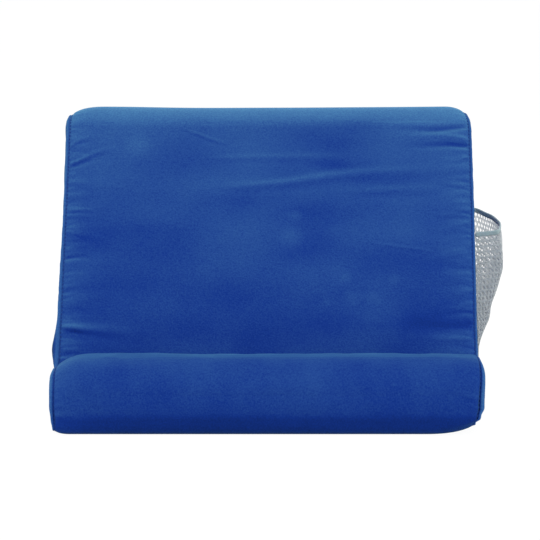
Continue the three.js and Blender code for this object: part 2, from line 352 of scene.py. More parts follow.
# Patches of brushed nap, painted shade beside the folds, and painted highlights along the lip's top edge.
NAP_AND_PAINTED_LIGHT_PATCHES = (
    NapAndPaintedLightPatch(22, 28, 22, 9, -0.25),
    NapAndPaintedLightPatch(46, 41, 20, 9, -0.12),
    NapAndPaintedLightPatch(64, 24, 24, 6, -0.3),
    NapAndPaintedLightPatch(74, 183, 62, 9, -0.35),
    NapAndPaintedLightPatch(8, 190, 26, 16, 0.15),
    NapAndPaintedLightPatch(-26, 283, 26, 3, 0.6),
    NapAndPaintedLightPatch(66, 283, 10, 3, 0.5),
    NapAndPaintedLightPatch(-104, 284, 9, 3, 0.5),
    NapAndPaintedLightPatch(-112, 297, 22, 9, 0.25),
    NapAndPaintedLightPatch(-80, 150, 40, 24, 0.1),
    NapAndPaintedLightPatch(16, 116, 8, 8, 0.5, 3),
    NapAndPaintedLightPatch(19, 99, 4, 4, 0.45, 3),
    NapAndPaintedLightPatch(52, 148, 5, 5, 0.3, 3),
    NapAndPaintedLightPatch(58, 163, 5, 5, 0.32, 3),
    NapAndPaintedLightPatch(72, 164, 5.5, 5, 0.32, 3),
    NapAndPaintedLightPatch(86, 149, 4, 4, 0.3, 3),
    NapAndPaintedLightPatch(41, 167, 3, 3, 0.25, 3),
    NapAndPaintedLightPatch(69, 179, 7, 4, 0.15, 3),
    NapAndPaintedLightPatch(-90, 42, 8, 8, 0.45, 3),
    NapAndPaintedLightPatch(-84, 110, 34, 8, -0.3),
    NapAndPaintedLightPatch(-125, 117, 16, 9, -0.3),
    NapAndPaintedLightPatch(-22, 86, 26, 7, -0.22),
    NapAndPaintedLightPatch(45, 58, 16, 5, -0.5),
    NapAndPaintedLightPatch(30, 121, 16, 14, -0.22),
    NapAndPaintedLightPatch(26, 95, 14, 7, -0.18),
    NapAndPaintedLightPatch(-16, 70, 20, 6, 0.2),
    NapAndPaintedLightPatch(98, 112, 18, 8, 0.2),
    NapAndPaintedLightPatch(-30, 150, 10, 18, -0.2),
)


@dataclass(frozen=True)
class Brushed:
    """How pale the cover is painted over the whole width, at one distance down from the ridge: painted
    light and painted shade, with a little brushed nap.
    """

    down: float
    tone: float


# A painted sheen over the ridge, painted shade growing down the slope towards the groove and on the lip,
# and a painted contact shadow along the foot, with a little brushed nap.
PAINTED_LIGHT_BANDS = (
    Brushed(-470, -0.9),
    Brushed(-455, -0.9),
    Brushed(-440, -0.3),
    Brushed(-200, -0.1),
    Brushed(-60, 0.3),
    Brushed(-15, 1.8),
    Brushed(4, 2.6),
    Brushed(18, 1.75),
    Brushed(27, 0.6),
    Brushed(40, 0.28),
    Brushed(90, 0.13),
    Brushed(125, -0.06),
    Brushed(150, -0.14),
    Brushed(175, -0.2),
    Brushed(205, -0.3),
    Brushed(281, -0.3),
    Brushed(300, -0.1),
    Brushed(312, -0.14),
    Brushed(325, -0.25),
    Brushed(336, -0.35),
    Brushed(341, -0.9),
)

GATHERS = (
    Gathers("slope", 2.6, (3, 11), (0.15, 0.4), (0.8, 1.1)),
    Gathers("slope", 8.5, (10, 24), (0.2, 0.5), (1.3, 2.2), 0.12),
    Gathers("apex", 3.0, (4, 12), (0.12, 0.3), (0.8, 1.2)),
    Gathers("back", 3.2, (3, 12), (0.1, 0.3), (0.9, 1.4)),
    Gathers("back", 11, (10, 26), (0.2, 0.5), (1.6, 2.8)),
    Gathers("lip top", 4.5, (3, 8), (0.05, 0.15), (0.9, 1.3)),
    Gathers("lip front", 3.5, (3, 8), (0.05, 0.18), (0.8, 1.2)),
    Gathers("lip back", 4.5, (3, 8), (0.05, 0.15), (0.9, 1.3)),
    Gathers("lip face", 2.8, (4, 12), (0.12, 0.35), (0.8, 1.2), -0.25),
    Gathers("heel", 5.0, (3, 10), (0.08, 0.25), (1.2, 1.8)),
)


@dataclass(frozen=True)
class PanelBulge:
    """A soft swelling of one side panel round a place in it."""

    hand: Hand
    y: float
    z: float
    spread: float
    height: float


PANEL_BULGES = (
    PanelBulge(Hand.LEFT, -50, 48, 14, 5.0),
    PanelBulge(Hand.LEFT, 62, 165, 30, 1.0),
    PanelBulge(Hand.LEFT, -104, 24, 20, 0.6),
    PanelBulge(Hand.LEFT, -108, 3, 20, -2.0),
    PanelBulge(Hand.RIGHT, -98, 5, 28, -8.0),
)


# The length and the height of each long wave in the cover, and of each shorter one on the lip.
COVER_WAVES = ((130, 0.22), (90, 0.2), (60, 0.16), (42, 0.14), (30, 0.1))
LIP_WAVES = ((37, 0.09), (23, 0.07), (13, 0.05))


def smooth_path(points: np.ndarray, count: int) -> np.ndarray:
    """A Catmull-Rom curve through the points.

    Args:
        points: the points that the curve passes through, one a row.
        count: how many points to return.

    Returns:
        Points evenly spaced in the curve's own parameter.
    """
    padded = np.vstack([2 * points[0] - points[1], points, 2 * points[-1] - points[-2]])
    place = np.linspace(0, len(points) - 1, count)
    leg = np.minimum(place.astype(int), len(points) - 2)
    t = (place - leg)[:, None]
    a, b, c, d = (padded[leg + k] for k in range(4))
    square, cube = 2 * a - 5 * b + 4 * c - d, 3 * b - a - 3 * c + d
    return 0.5 * (2 * b + (c - a) * t + square * t**2 + cube * t**3)


FOLD_STEPS = 40
HOLLOW_PLACE, HOLLOW_WIDTH = 1.9, 1.3


def fold_relief(fold: Fold, x: np.ndarray, down: np.ndarray) -> np.ndarray:
    """How far a fold lifts the cover at each place on the sloping face."""
    path = smooth_path(np.array(fold.path, float), FOLD_STEPS)
    relief = np.zeros_like(x)
    margin = 4 * fold.width
    near = (
        (x > path[:, 0].min() - margin)
        & (x < path[:, 0].max() + margin)
        & (down > path[:, 1].min() - margin)
        & (down < path[:, 1].max() + margin)
    )
    here = np.stack([x[near], down[near]], axis=1)
    start, leg = path[:-1], np.diff(path, axis=0)
    offset = here[:, None] - start[None]
    t = np.clip((offset * leg).sum(2) / (leg**2).sum(1), 0, 1)
    apart = offset - t[..., None] * leg
    distance = np.hypot(apart[..., 0], apart[..., 1])
    best = distance.argmin(1)
    pick = np.arange(len(best))
    share = (best + t[pick, best]) / len(leg)
    side = np.where(apart[pick, best, 1] >= 0, 1.0, -1.0) * distance[pick, best]
    fading = np.clip(1 - share**2, 0, 1) ** 1.3
    if fold.fade is Fade.BOTH:
        fading = np.sin(math.pi * share) ** 0.7
    width = fold.width * (fold.start + (1 - fold.start) * share)
    crest = np.exp(-((side / width) ** 2))
    hollow = np.exp(-(((side - HOLLOW_PLACE * width) / (HOLLOW_WIDTH * width)) ** 2))
    relief[near] = fold.height * fading * (crest - fold.lee * hollow)
    return relief


# ---------------------------------------------------------------- the cushion


@dataclass(frozen=True)
class Detail:
    """How finely the cushion's surface is divided."""

    along: float
    seam_step: float
    growth: float
    across: float
    panel: float
    roll_rings: int


FINE = Detail(along=0.95, seam_step=0.4, growth=1.13, across=2.8, panel=2.4, roll_rings=7)
COARSE = Detail(along=4.5, seam_step=2.2, growth=1.3, across=4.5, panel=5.0, roll_rings=3)


@dataclass
class Shell:
    """The cushion's closed surface, with where each of its points lies on the cover."""

    points: np.ndarray
    faces: list[tuple[int, ...]]
    x: np.ndarray
    along: np.ndarray
    from_seam: np.ndarray
    part: np.ndarray
    hand: np.ndarray
    on_panel: np.ndarray
    columns: int
    rows: OutlineRows


@dataclass
class Filling:
    """The foam's push on the cover, found by a short cloth simulation of a coarse copy of it.

    The copy is held at its seams and under its base, and its cloth is a little larger than its
    form. The foam doesn't give way, so only what swells outwards counts, up to a limit.
    """

    pressure: float = 4.0
    slack: float = 0.003
    stiffness: float = 200.0
    frames: int = 20
    limit: float = 1.2
    seam_hold: float = 2.5
    floor_hold: float = 1.5
    neighbours: int = 6

    def swelling(self, shell: Shell) -> tuple[np.ndarray, np.ndarray]:
        """How far each point of the coarse copy swells, in millimetres, and its outward normal."""
        mesh = mesh_of("filling", shell.points, shell.faces)
        normals = normals_of(mesh)
        copy = linked("filling", mesh)
        held = copy.vertex_groups.new(name="held")
        fixed = (shell.from_seam < self.seam_hold) | (shell.points[:, 2] < self.floor_hold)
        held.add(np.flatnonzero(fixed).tolist(), 1.0, "REPLACE")
        cloth = copy.modifiers.new("filling", "CLOTH")
        settings = cloth.settings
        settings.quality = 5
        settings.mass = 0.15
        settings.tension_stiffness = settings.compression_stiffness = self.stiffness
        settings.shear_stiffness = self.stiffness / 4
        settings.bending_stiffness = 0.5
        settings.tension_damping = settings.compression_damping = 12
        settings.air_damping = 2.0
        settings.vertex_group_mass = held.name
        settings.shrink_min = -self.slack
        settings.use_pressure = True
        settings.uniform_pressure_force = self.pressure
        settings.effector_weights.gravity = 0.0
        cloth.collision_settings.use_collision = False
        cloth.point_cache.frame_start, cloth.point_cache.frame_end = 1, self.frames
        scene = bpy.context.scene
        for frame_number in range(1, self.frames + 1):
            scene.frame_set(frame_number)
        evaluated = copy.evaluated_get(bpy.context.evaluated_depsgraph_get())
        found = np.zeros(len(shell.points) * 3)
        evaluated.data.vertices.foreach_get("co", found)
        scene.frame_set(1)
        bpy.data.objects.remove(copy, do_unlink=True)
        bpy.data.meshes.remove(mesh)
        moved = found.reshape(-1, 3) / MM - shell.points
        return np.maximum((moved * normals).sum(1), 0), normals

    def push(self, coarse: Shell, places: np.ndarray) -> np.ndarray:
        """How far the filling moves the cover.

        Args:
            coarse: the coarse copy.
            places: points on the cover.

        Returns:
            The move at each of them, in millimetres.
        """
        swollen, normals = self.swelling(coarse)
        moved = normals * (self.limit * np.tanh(swollen / self.limit))[:, None]
        tree = KDTree(len(coarse.points))
        for number, point in enumerate(coarse.points):
            tree.insert(point, number)
        tree.balance()
        push = np.zeros_like(places)
        for k, place in enumerate(places):
            near = tree.find_n(place, self.neighbours)
            weights = np.array([1 / (distance + 1.0) ** 2 for _, _, distance in near])
            push[k] = weights @ moved[[number for _, number, _ in near]] / weights.sum()
        LOG.info("filling: the cover swells by up to %.1f mm", np.linalg.norm(push, axis=1).max())
        return push


@dataclass
class Cushion:
    """The padded wedge: its belt and two side panels as one closed, filled piece."""

    outline: CoverOutline = field(default_factory=CoverOutline)
    filling: Filling = field(default_factory=Filling)
    roll_from: float = -50.0
    roll_to: float = 80.0
    bulge: float = 1.2
    bulge_reach: float = 32.0
    crease_width: float = 0.9
    # Painted light on the folds: sides that face up the slope are painted paler by their steepness,
    # crests paler and troughs darker.
    fold_painted_light: float = 2.1
    crest_painted_light: float = 0.45
    # A painted sheen along each side panel's roll, centred roll_crown from the seam and roll_reach wide.
    roll_painted_sheen: float = 1.9
    roll_crown: float = 2.5
    roll_reach: float = 2.6
    # Painted shade over the side panels, deeper on their bulges, and in the seams' creases.
    bulge_shade: float = 0.45
    panel_shade: float = 0.6
    crease_shade: float = 0.9
    # A painted sheen beside each seam: (width, strength) on the sloping face and on the rest of the belt.
    seam_painted_sheen: dict[Hand, tuple[tuple[float, float], tuple[float, float]]] = field(
        default_factory=lambda: {
            Hand.LEFT: ((10, 0.35), (20, 0.35)),
            Hand.RIGHT: ((26, 0.35), (8, 0.0)),
        }
    )
    seed: int = 4
    panel_settle: float = 22.0
    hollow_rise: float = 2.5
    pucker_reach: float = 45.0
    pucker_rise: float = 1.2
    pucker_lean: float = 0.22
    pucker_place: tuple[float, float] = (0.1, 0.9)
    pucker_flare: float = 0.8
    panel_pucker: float = 0.3
    fold_hold: float = 2.0
    wave_hold: float = 14.0
    calm_height: float = 30.0
    calm_share: float = 0.4
    lip_wander: float = 0.35
    # The share of that painted light which sides facing down the slope take as painted shade, and its
    # limits.
    painted_shade_share: float = 0.65
    fold_painted_light_limits: tuple[float, float] = (-0.9, 1.2)
    # How far from the seam the bulges' painted shade sets in.
    bulge_settle: float = 4.0

    def sections(self, detail: Detail) -> np.ndarray:
        """The belt's columns, from the left seam to the right one, as distances across."""
        sides = []
        for hand in Hand:
            offsets, step = [0.0], detail.seam_step
            while offsets[-1] + step < self.outline.seam_at[hand]:
                offsets.append(offsets[-1] + step)
                step = min(step * detail.growth, detail.across)
            sides.append(hand.value * (self.outline.seam_at[hand] - np.array(offsets)))
        return np.concatenate([sides[0], sides[1][::-1]])

    def belt(self, rows: OutlineRows, across: np.ndarray) -> tuple[np.ndarray, np.ndarray]:
        """The belt's grid of points.

        Args:
            rows: the outline's rows.
            across: the columns' distances from the stand's middle.

        Returns:
            The points, by column and then by row, and each one's distance from its seam.
        """
        form = self.outline
        pulls = np.where((across < 0)[:, None, None], rows.pulls[Hand.LEFT], rows.pulls[Hand.RIGHT])
        half = np.where(across < 0, form.seam_at[Hand.LEFT], form.seam_at[Hand.RIGHT])[:, None]
        reach, tuck, lift, draw, _, sharp, _, crease = (pulls[..., k] for k in range(8))
        from_seam = half - np.abs(across)[:, None] + np.zeros(len(rows.along))
        depth = np.clip(1 - from_seam / reach, 0, 1) ** sharp
        drawn = draw * np.clip(1 - from_seam / form.draw_reach, 0, 1) ** 2
        x = np.sign(across)[:, None] * (half - from_seam - drawn)
        swell = rows.crown * (1 - (x / half) ** 2) - tuck * depth
        swell -= crease * np.exp(-((from_seam / self.crease_width) ** 2))
        y = rows.at[:, 0] + rows.normal[:, 0] * swell
        z = rows.at[:, 1] + rows.normal[:, 1] * swell + lift * depth
        return np.stack([x, y, z], axis=2), from_seam

    def depth_in_panel(self, places: np.ndarray, rim: np.ndarray) -> np.ndarray:
        """How deep each place lies inside a panel's rim: the distance itself by a straight rim."""
        step = np.linalg.norm(np.roll(rim, -1, axis=0) - rim, axis=1)
        middle = (np.roll(rim, -1, axis=0) + rim) / 2
        apart = np.linalg.norm(places[:, None] - middle[None], axis=2)
        return np.sqrt(2 / (step / np.maximum(apart, 0.3) ** 3).sum(1))

    def swell(self, depth: np.ndarray) -> np.ndarray:
        """How far a side panel stands out at a depth inside its rim."""
        share = np.clip(depth / self.bulge_reach, 0, 1)
        return self.bulge * (1 - (1 - share) ** 2)

    def shell(self, detail: Detail) -> Shell:
        """The smooth closed surface, before its folds.

        Args:
            detail: how finely it is divided.

        Returns:
            The surface.
        """
        rows = self.outline.rows(detail.along)
        across = self.sections(detail)
        belt, from_seam = self.belt(rows, across)
        columns, count = belt.shape[:2]
        blocks = [belt.reshape(-1, 3)]
        along = [np.tile(rows.along, columns)]
        distance = [from_seam.ravel()]
        x = [np.repeat(across, count)]
        part = [np.tile(rows.part, columns)]
        hands = [np.repeat(np.where(across < 0, -1, 1), count)]
        faces = []
        for i in range(columns - 1):
            for j in range(count):
                k = (j + 1) % count
                faces.append((i * count + j, i * count + k, (i + 1) * count + k, (i + 1) * count + j))
        total = columns * count
        for hand in Hand:
            seam = belt[0 if hand is Hand.LEFT else -1]
            seam_ids = np.arange(count) + (0 if hand is Hand.LEFT else (columns - 1) * count)
            points, tris, depth = self.panel(hand, seam, seam_ids, total, rows, detail)
            faces.extend(tris)
            nearest = np.linalg.norm(points[:, None, 1:] - seam[None, :, 1:], axis=2).argmin(1)
            blocks.append(points)
            along.append(rows.along[nearest])
            distance.append(depth)
            x.append(np.full(len(points), hand.value * self.outline.seam_at[hand]))
            part.append(rows.part[nearest])
            hands.append(np.full(len(points), hand.value))
            total += len(points)
        on_panel = np.arange(total) >= columns * count
        stacked = (np.concatenate(a) for a in (blocks, x, along, distance, part, hands))
        points, x, along, distance, part, hands = stacked
        return Shell(points, faces, x, along, distance, part, hands, on_panel, columns, rows)

    def panel(
        self,
        hand: Hand,
        seam: np.ndarray,
        seam_ids: np.ndarray,
        first: int,
        rows: OutlineRows,
        detail: Detail,
    ) -> tuple[np.ndarray, list[tuple[int, ...]], np.ndarray]:
        """A side panel: a narrow roll along its seam, and the gently bulging cloth inside it.

        Args:
            hand: which end of the stand.
            seam: the seam's points.
            seam_ids: the seam's point numbers in the whole surface.
            first: the number that the panel's first new point gets.
            rows: the outline's rows, for the seam's outward directions.
            detail: how finely the panel is divided.

        Returns:
            The new points, their faces, and each point's distance from the seam.
        """
        sign, count = hand.value, len(seam)
        radius, slump = (measure(rows.pulls[hand], name) for name in ("roll", "slump"))
        rings, depths, faces = [], [], []
        start = math.radians(self.roll_from)
        for k in range(1, detail.roll_rings + 1):
            angle = start + math.radians(self.roll_to - self.roll_from) * k / detail.roll_rings
            ring = seam.copy()
            rise = (math.cos(min(angle, 0.0)) - math.cos(start)) / slump
            fall = 1 - math.cos(max(angle, 0.0)) + (slump - 1) * math.sin(max(angle, 0.0))
            ring[:, 0] += sign * radius * (math.sin(angle) - math.sin(start))
            ring[:, 1:] += rows.normal * (radius * (rise - fall))[:, None]
            rings.append(ring)
            depths.append(radius * (angle - start))
        ids = seam_ids
        for k in range(detail.roll_rings):
            new = first + k * count + np.arange(count)
            for j in range(count):
                after = (j + 1) % count
                quad = (ids[j], ids[after], new[after], new[j])
                faces.append(tuple(int(v) for v in (quad if sign > 0 else quad[::-1])))
            ids = new
        rim = rings[-1]
        inner, tris = self._fill(rim[:, 1:], detail.panel)
        depth = self.depth_in_panel(inner, rim[:, 1:])
        weight = 1 / np.linalg.norm(inner[:, None] - rim[None, :, 1:], axis=2) ** 3
        edge = (weight * rim[:, 0]).sum(1) / weight.sum(1)
        settled = sign * self.outline.seam_at[hand]
        fading = np.exp(-depth / self.panel_settle)
        x = settled + (edge - settled) * fading + sign * self.swell(depth)
        for local in PANEL_BULGES:
            if local.hand is hand:
                away = np.hypot(inner[:, 0] - local.y, inner[:, 1] - local.z) / local.spread
                rise = 1 - np.exp(-depth / self.hollow_rise)
                x += sign * local.height * np.exp(-(away**2)) * rise
        points = np.column_stack([x, inner])
        start = first + len(rings) * count
        for tri in tris:
            numbers = tuple(int(ids[v]) if v < count else int(start + v - count) for v in tri)
            faces.append(numbers if sign > 0 else numbers[::-1])
        points = np.vstack([*rings, points])
        return points, faces, np.concatenate([*depths, depth + depths[-1].mean()])

    @staticmethod
    def _fill(rim: np.ndarray, step: float) -> tuple[np.ndarray, list[tuple[int, ...]]]:
        """Even triangles inside a closed rim.

        Args:
            rim: the rim's points, in order.
            step: the distance between the points inside.

        Returns:
            The points inside, and triangles whose numbers count the rim's points first.
        """
        low, high = rim.min(0), rim.max(0)
        across = np.arange(low[0], high[0], step)
        up = np.arange(low[1], high[1], step * math.sqrt(3) / 2)
        y, z = np.meshgrid(across, up)
        y = y + (np.arange(len(up)) % 2)[:, None] * step / 2
        places = np.column_stack([y.ravel(), z.ravel()])
        after = np.roll(rim, -1, axis=0)
        crosses = (rim[None, :, 1] > places[:, None, 1]) != (after[None, :, 1] > places[:, None, 1])
        rise = np.where(after[:, 1] == rim[:, 1], 1e-9, after[:, 1] - rim[:, 1])
        edge = rim[:, 0] + (places[:, None, 1] - rim[None, :, 1]) / rise * (after[:, 0] - rim[:, 0])
        inside = (crosses & (places[:, None, 0] < edge)).sum(1) % 2 == 1
        clear = np.linalg.norm(places[:, None] - rim[None], axis=2).min(1) > 0.5 * step
        places = places[inside & clear]
        verts = [Vector(p) for p in np.vstack([rim, places])]
        edges = [(k, (k + 1) % len(rim)) for k in range(len(rim))]
        found, _, tris, sources, _, _ = delaunay_2d_cdt(verts, edges, [list(range(len(rim)))], 1, 1e-5)
        number = [source[0] for source in sources]
        area = sum((found[t[1]] - found[t[0]]).cross(found[t[2]] - found[t[0]]) for t in tris)
        ordered = [tuple(number[v] for v in (t if area > 0 else t[::-1])) for t in tris]
        return places, ordered

    def puckers(self, shell: Shell) -> np.ndarray:
        """The height of the small gathers along both seams, at each point of the surface."""
        rng = np.random.default_rng(self.seed)
        relief = np.zeros(len(shell.points))
        for hand in Hand:
            near = (shell.hand == hand.value) & (shell.from_seam < self.pucker_reach)
            along, away, panel = shell.along[near], shell.from_seam[near], shell.on_panel[near]
            total = np.zeros(near.sum())
            rise = 1 - np.exp(-away / self.pucker_rise)
            for band in GATHERS:
                rows = shell.rows.along[shell.rows.part == band.part]
                for k in range(int(np.ptp(rows) / band.pitch)):
                    place = rows.min() + (k + rng.uniform(*self.pucker_place)) * band.pitch
                    length = rng.uniform(*band.length)
                    height = rng.uniform(*band.height) * rng.choice((1.0, -1.0))
                    lean = band.lean + rng.uniform(-self.pucker_lean, self.pucker_lean)
                    width = rng.uniform(*band.width)
                    spread = width * (1 + self.pucker_flare * away / length)
                    wave = np.exp(-(((along - place - lean * away) / spread) ** 2))
                    total += height * rise * wave * np.exp(-((away / length) ** 2))
            relief[near] = np.where(panel, self.panel_pucker, 1.0) * total
        return relief

    def undulation(self, shell: Shell) -> np.ndarray:
        """The foam's own slight unevenness: a few long waves, and shorter ones on the lip."""
        rng = np.random.default_rng(self.seed + 1)
        relief = np.zeros(len(shell.points))
        on_lip = np.char.startswith(shell.part.astype(str), "lip") & ~shell.on_panel
        calm = np.where(on_lip | (shell.part == "apex"), self.calm_share, 1.0)
        for length, height in COVER_WAVES:
            direction = rng.normal(size=3)
            direction /= np.linalg.norm(direction)
            phase = rng.uniform(0, 2 * math.pi)
            relief += calm * height * np.sin(shell.points @ direction * 2 * math.pi / length + phase)
        for length, height in LIP_WAVES:
            phase = rng.uniform(0, 2 * math.pi)
            wander = self.lip_wander * length * np.sin(shell.along / length + phase)
            relief += on_lip * height * np.sin((shell.x + wander) * 2 * math.pi / length + phase)
        return relief * np.clip(shell.points[:, 2] / self.calm_height, 0, 1)

    def down(self, shell: Shell) -> np.ndarray:
        """How far down the sloping face each point lies, from the ridge of the stand."""
        ridge = shell.rows.along[shell.rows.part == "apex"]
        top = ridge[shell.rows.at[shell.rows.part == "apex"][:, 1].argmax()]
        return shell.along - top

    def relief(self, shell: Shell) -> np.ndarray:
        """All that lifts or sinks the cover from its smooth form."""
        down = self.down(shell)
        on_face = np.isin(shell.part, ("apex", "slope")) & ~shell.on_panel
        folds = np.zeros(len(shell.points))
        for fold in FOLDS:
            folds += fold_relief(fold, shell.x, down)
        hold = 1 - np.exp(-((shell.from_seam / self.fold_hold) ** 2))
        relief = np.where(on_face, folds, 0) * hold
        relief += self.puckers(shell)
        relief += self.undulation(shell) * (1 - np.exp(-((shell.from_seam / self.wave_hold) ** 2)))
        return relief

    @staticmethod
    def bulging(shell: Shell) -> np.ndarray:
        """How far the local bulges push each point of the side panels out, in millimetres."""
        out = np.zeros(len(shell.points))
        for local in PANEL_BULGES:
            away = np.hypot(shell.points[:, 1] - local.y, shell.points[:, 2] - local.z) / local.spread
            near = shell.on_panel & (shell.hand == local.hand.value)
            out += np.where(near, max(local.height, 0) * np.exp(-(away**2)), 0)
        return out

    def nap(self, shell: Shell, relief: np.ndarray) -> np.ndarray:
        """How pale the cover is painted at each point: brushed nap, with painted light and painted shade.

        Args:
            shell: the surface.
            relief: what lifts or sinks the cover at each point.

        Returns:
            The tone at each point: 0 is the plain colour, less is darker and more is paler.
        """
        down = self.down(shell)
        tone = np.zeros(len(shell.points))
        # Patches of brushed nap, painted highlights and painted shade.
        for mark in NAP_AND_PAINTED_LIGHT_PATCHES:
            away = np.hypot((shell.x - mark.x) / mark.wide, (down - mark.down) / mark.tall)
            tone += mark.tone * np.exp(-(away**mark.sharpness))
        # Painted light down the cover: a painted sheen over the ridge, and painted shade lower down and
        # at the foot.
        places = [tone_at.down for tone_at in PAINTED_LIGHT_BANDS]
        tone += np.interp(down, places, [tone_at.tone for tone_at in PAINTED_LIGHT_BANDS])
        # A painted sheen beside each seam, where the cover turns away.
        on_face = np.isin(shell.part, ("apex", "slope"))
        for hand in Hand:
            near = shell.hand == hand.value
            face, lip = self.seam_painted_sheen[hand]
            glow = np.where(on_face, face[1], lip[1])
            wide = np.where(on_face, face[0], lip[0])
            tone += np.where(near, glow * np.exp(-((shell.from_seam / wide) ** 2)), 0)
        # Painted light and shade on the folds: paler where the cover faces up the slope and on crests,
        # darker where it faces down and in troughs.
        belt = shell.columns * len(shell.rows.along)
        lift = relief[:belt].reshape(shell.columns, -1)
        run = np.roll(shell.rows.along, -1) - np.roll(shell.rows.along, 1)
        slope = (np.roll(lift, -1, axis=1) - np.roll(lift, 1, axis=1)) / np.where(run > 0, run, 2)
        painted_slope_light = np.where(slope > 0, self.fold_painted_light, self.painted_shade_share * self.fold_painted_light) * slope
        tone[:belt] += np.clip(painted_slope_light + self.crest_painted_light * lift, *self.fold_painted_light_limits).ravel()
        # On the side panels: a painted sheen along the roll.
        from_crown = (shell.from_seam - self.roll_crown) / self.roll_reach
        painted_roll_sheen = self.roll_painted_sheen * np.exp(-(from_crown**2))
        # Painted shade over the side panels, deeper where they bulge.
        settled = 1 - np.exp(-((shell.from_seam / self.bulge_settle) ** 2))
        swollen = self.bulge_shade * self.bulging(shell) * settled
        tone = np.where(shell.on_panel, painted_roll_sheen - self.panel_shade - swollen, tone)
        # Painted shade in each seam's crease.
        for hand in Hand:
            near = shell.hand == hand.value
            depth = np.interp(shell.along, shell.rows.along, measure(shell.rows.pulls[hand], "crease"))
            shade = np.exp(-((shell.from_seam / self.crease_width) ** 2))
            tone -= np.where(near, self.crease_shade * depth**1.5 * shade, 0)
        return tone

    def build(self, finish: PlushFinish) -> bpy.types.Object:
        """Makes the cushion and dresses it.

        Args:
            finish: the cover's finish.

        Returns:
            The finished object.
        """
        shell = self.shell(FINE)
        mesh = mesh_of("cushion_cover", shell.points, shell.faces)
        normals = normals_of(mesh)
        relief = self.relief(shell)
        shell.points += self.filling.push(self.shell(COARSE), shell.points)
        shell.points += normals * relief[:, None]
        shell.points[:, 2] = np.maximum(shell.points[:, 2], 0)
        mesh.vertices.foreach_set("co", (shell.points * MM).ravel())
        # The cover's tone: brushed nap, with painted sheen, painted highlights and painted shade.
        paint(mesh, "nap", self.nap(shell, relief))
        cushion = placed("cushion_cover", mesh, finish.material(), finish.slot)
        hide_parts("cushion")
        self.surface = shell
        LOG.info("%s: %d points", cushion.name, len(shell.points))
        return cushion

    def seam_line(self, hand: Hand, inside: float) -> np.ndarray:
        """The line of stitches beside a side seam.

        Args:
            hand: which seam.
            inside: how far from the seam the line lies on the belt.

        Returns:
            The line's points, once round the outline.
        """
        shell = self.surface
        count = len(shell.rows.along)
        grid = shell.points[: shell.columns * count].reshape(shell.columns, count, 3)
        away = shell.from_seam[: shell.columns * count].reshape(shell.columns, count)[:, 0]
        order = range(shell.columns) if hand is Hand.LEFT else range(shell.columns - 1, -1, -1)
        column = next(i for i in order if away[i] >= inside)
        return grid[column]


# ---------------------------------------------------------------- meshes and node graphs


def mesh_of(name: str, points: np.ndarray, faces: list[tuple[int, ...]]) -> bpy.types.Mesh:
    """A smooth-shaded mesh from points in millimetres."""
    mesh = bpy.data.meshes.new(name)
    mesh.from_pydata((points * MM).tolist(), [], faces)
    mesh.validate()
    mesh.shade_smooth()
    return mesh


def normals_of(mesh: bpy.types.Mesh) -> np.ndarray:
    """The outward normal at each of a mesh's points."""
    normals = np.zeros(len(mesh.vertices) * 3)
    mesh.vertex_normals.foreach_get("vector", normals)
    return normals.reshape(-1, 3)


def linked(name: str, data: bpy.types.ID) -> bpy.types.Object:
    """A new object in the scene that holds a mesh, a light or a camera."""
    made = bpy.data.objects.new(name, data)
    bpy.context.scene.collection.objects.link(made)
    return made


def paint(mesh: bpy.types.Mesh, name: str, values: np.ndarray) -> None:
    """Stores one number for each of a mesh's points as a named attribute."""
    layer = mesh.attributes.new(name, "FLOAT", "POINT")
    layer.data.foreach_set("value", values.astype(np.float32))


def placed(
    name: str, mesh: bpy.types.Mesh, material: bpy.types.Material, slot: str
) -> bpy.types.Object:
    """Links a mesh into the scene as a piece of the stand.

    Args:
        name: the piece's name.
        mesh: its mesh, in the frame's axes.
        material: its material.
        slot: the record's material slot for the piece; it is not used.

    Returns:
        The piece, which rides on the stand's only body.
    """
    piece = linked(name, mesh)
    mesh.materials.clear()
    mesh.materials.append(material)
    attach(piece, BODY)
    return piece


class Graph:
    """A node tree while it is written: a material's, a shader group's or a geometry tree."""

    def __init__(self, tree: bpy.types.NodeTree) -> None:
        """Takes the tree to write in."""
        self.tree = tree

    def add(self, kind: str, inputs: dict | None = None, **settings: object) -> bpy.types.Node:
        """Adds a node.

        Args:
            kind: the node's type.
            inputs: its inputs by name or number, each a value or another node's output.
            settings: its other properties.

        Returns:
            The node.
        """
        node = self.tree.nodes.new(kind)
        for name, value in settings.items():
            setattr(node, name, value)
        self.fill(node, inputs or {})
        return node

    def fill(self, node: bpy.types.Node, inputs: dict) -> None:
        """Sets a node's inputs, by name or number, to values or to other nodes' outputs."""
        for key, value in inputs.items():
            if isinstance(value, bpy.types.NodeSocket):
                self.tree.links.new(value, node.inputs[key])
            else:
                node.inputs[key].default_value = value

    def math(self, operation: str, *values: object) -> bpy.types.NodeSocket:
        """The result of a Math node on one, two or three values."""
        return self.out("ShaderNodeMath", dict(enumerate(values)), operation=operation)

    def out(self, kind: str, inputs: dict | None = None, **settings: object) -> bpy.types.NodeSocket:
        """Adds a node as add does, and gives its first output."""
        return self.add(kind, inputs, **settings).outputs[0]

    def shown(self) -> bpy.types.NodeSocket:
        """1 for the rays that show a surface to the camera, and 0 for those that light it."""
        rays = self.add("ShaderNodeLightPath").outputs
        seen = self.math("MAXIMUM", rays["Is Camera Ray"], rays["Is Glossy Ray"])
        return self.math("MAXIMUM", seen, rays["Is Transmission Ray"])


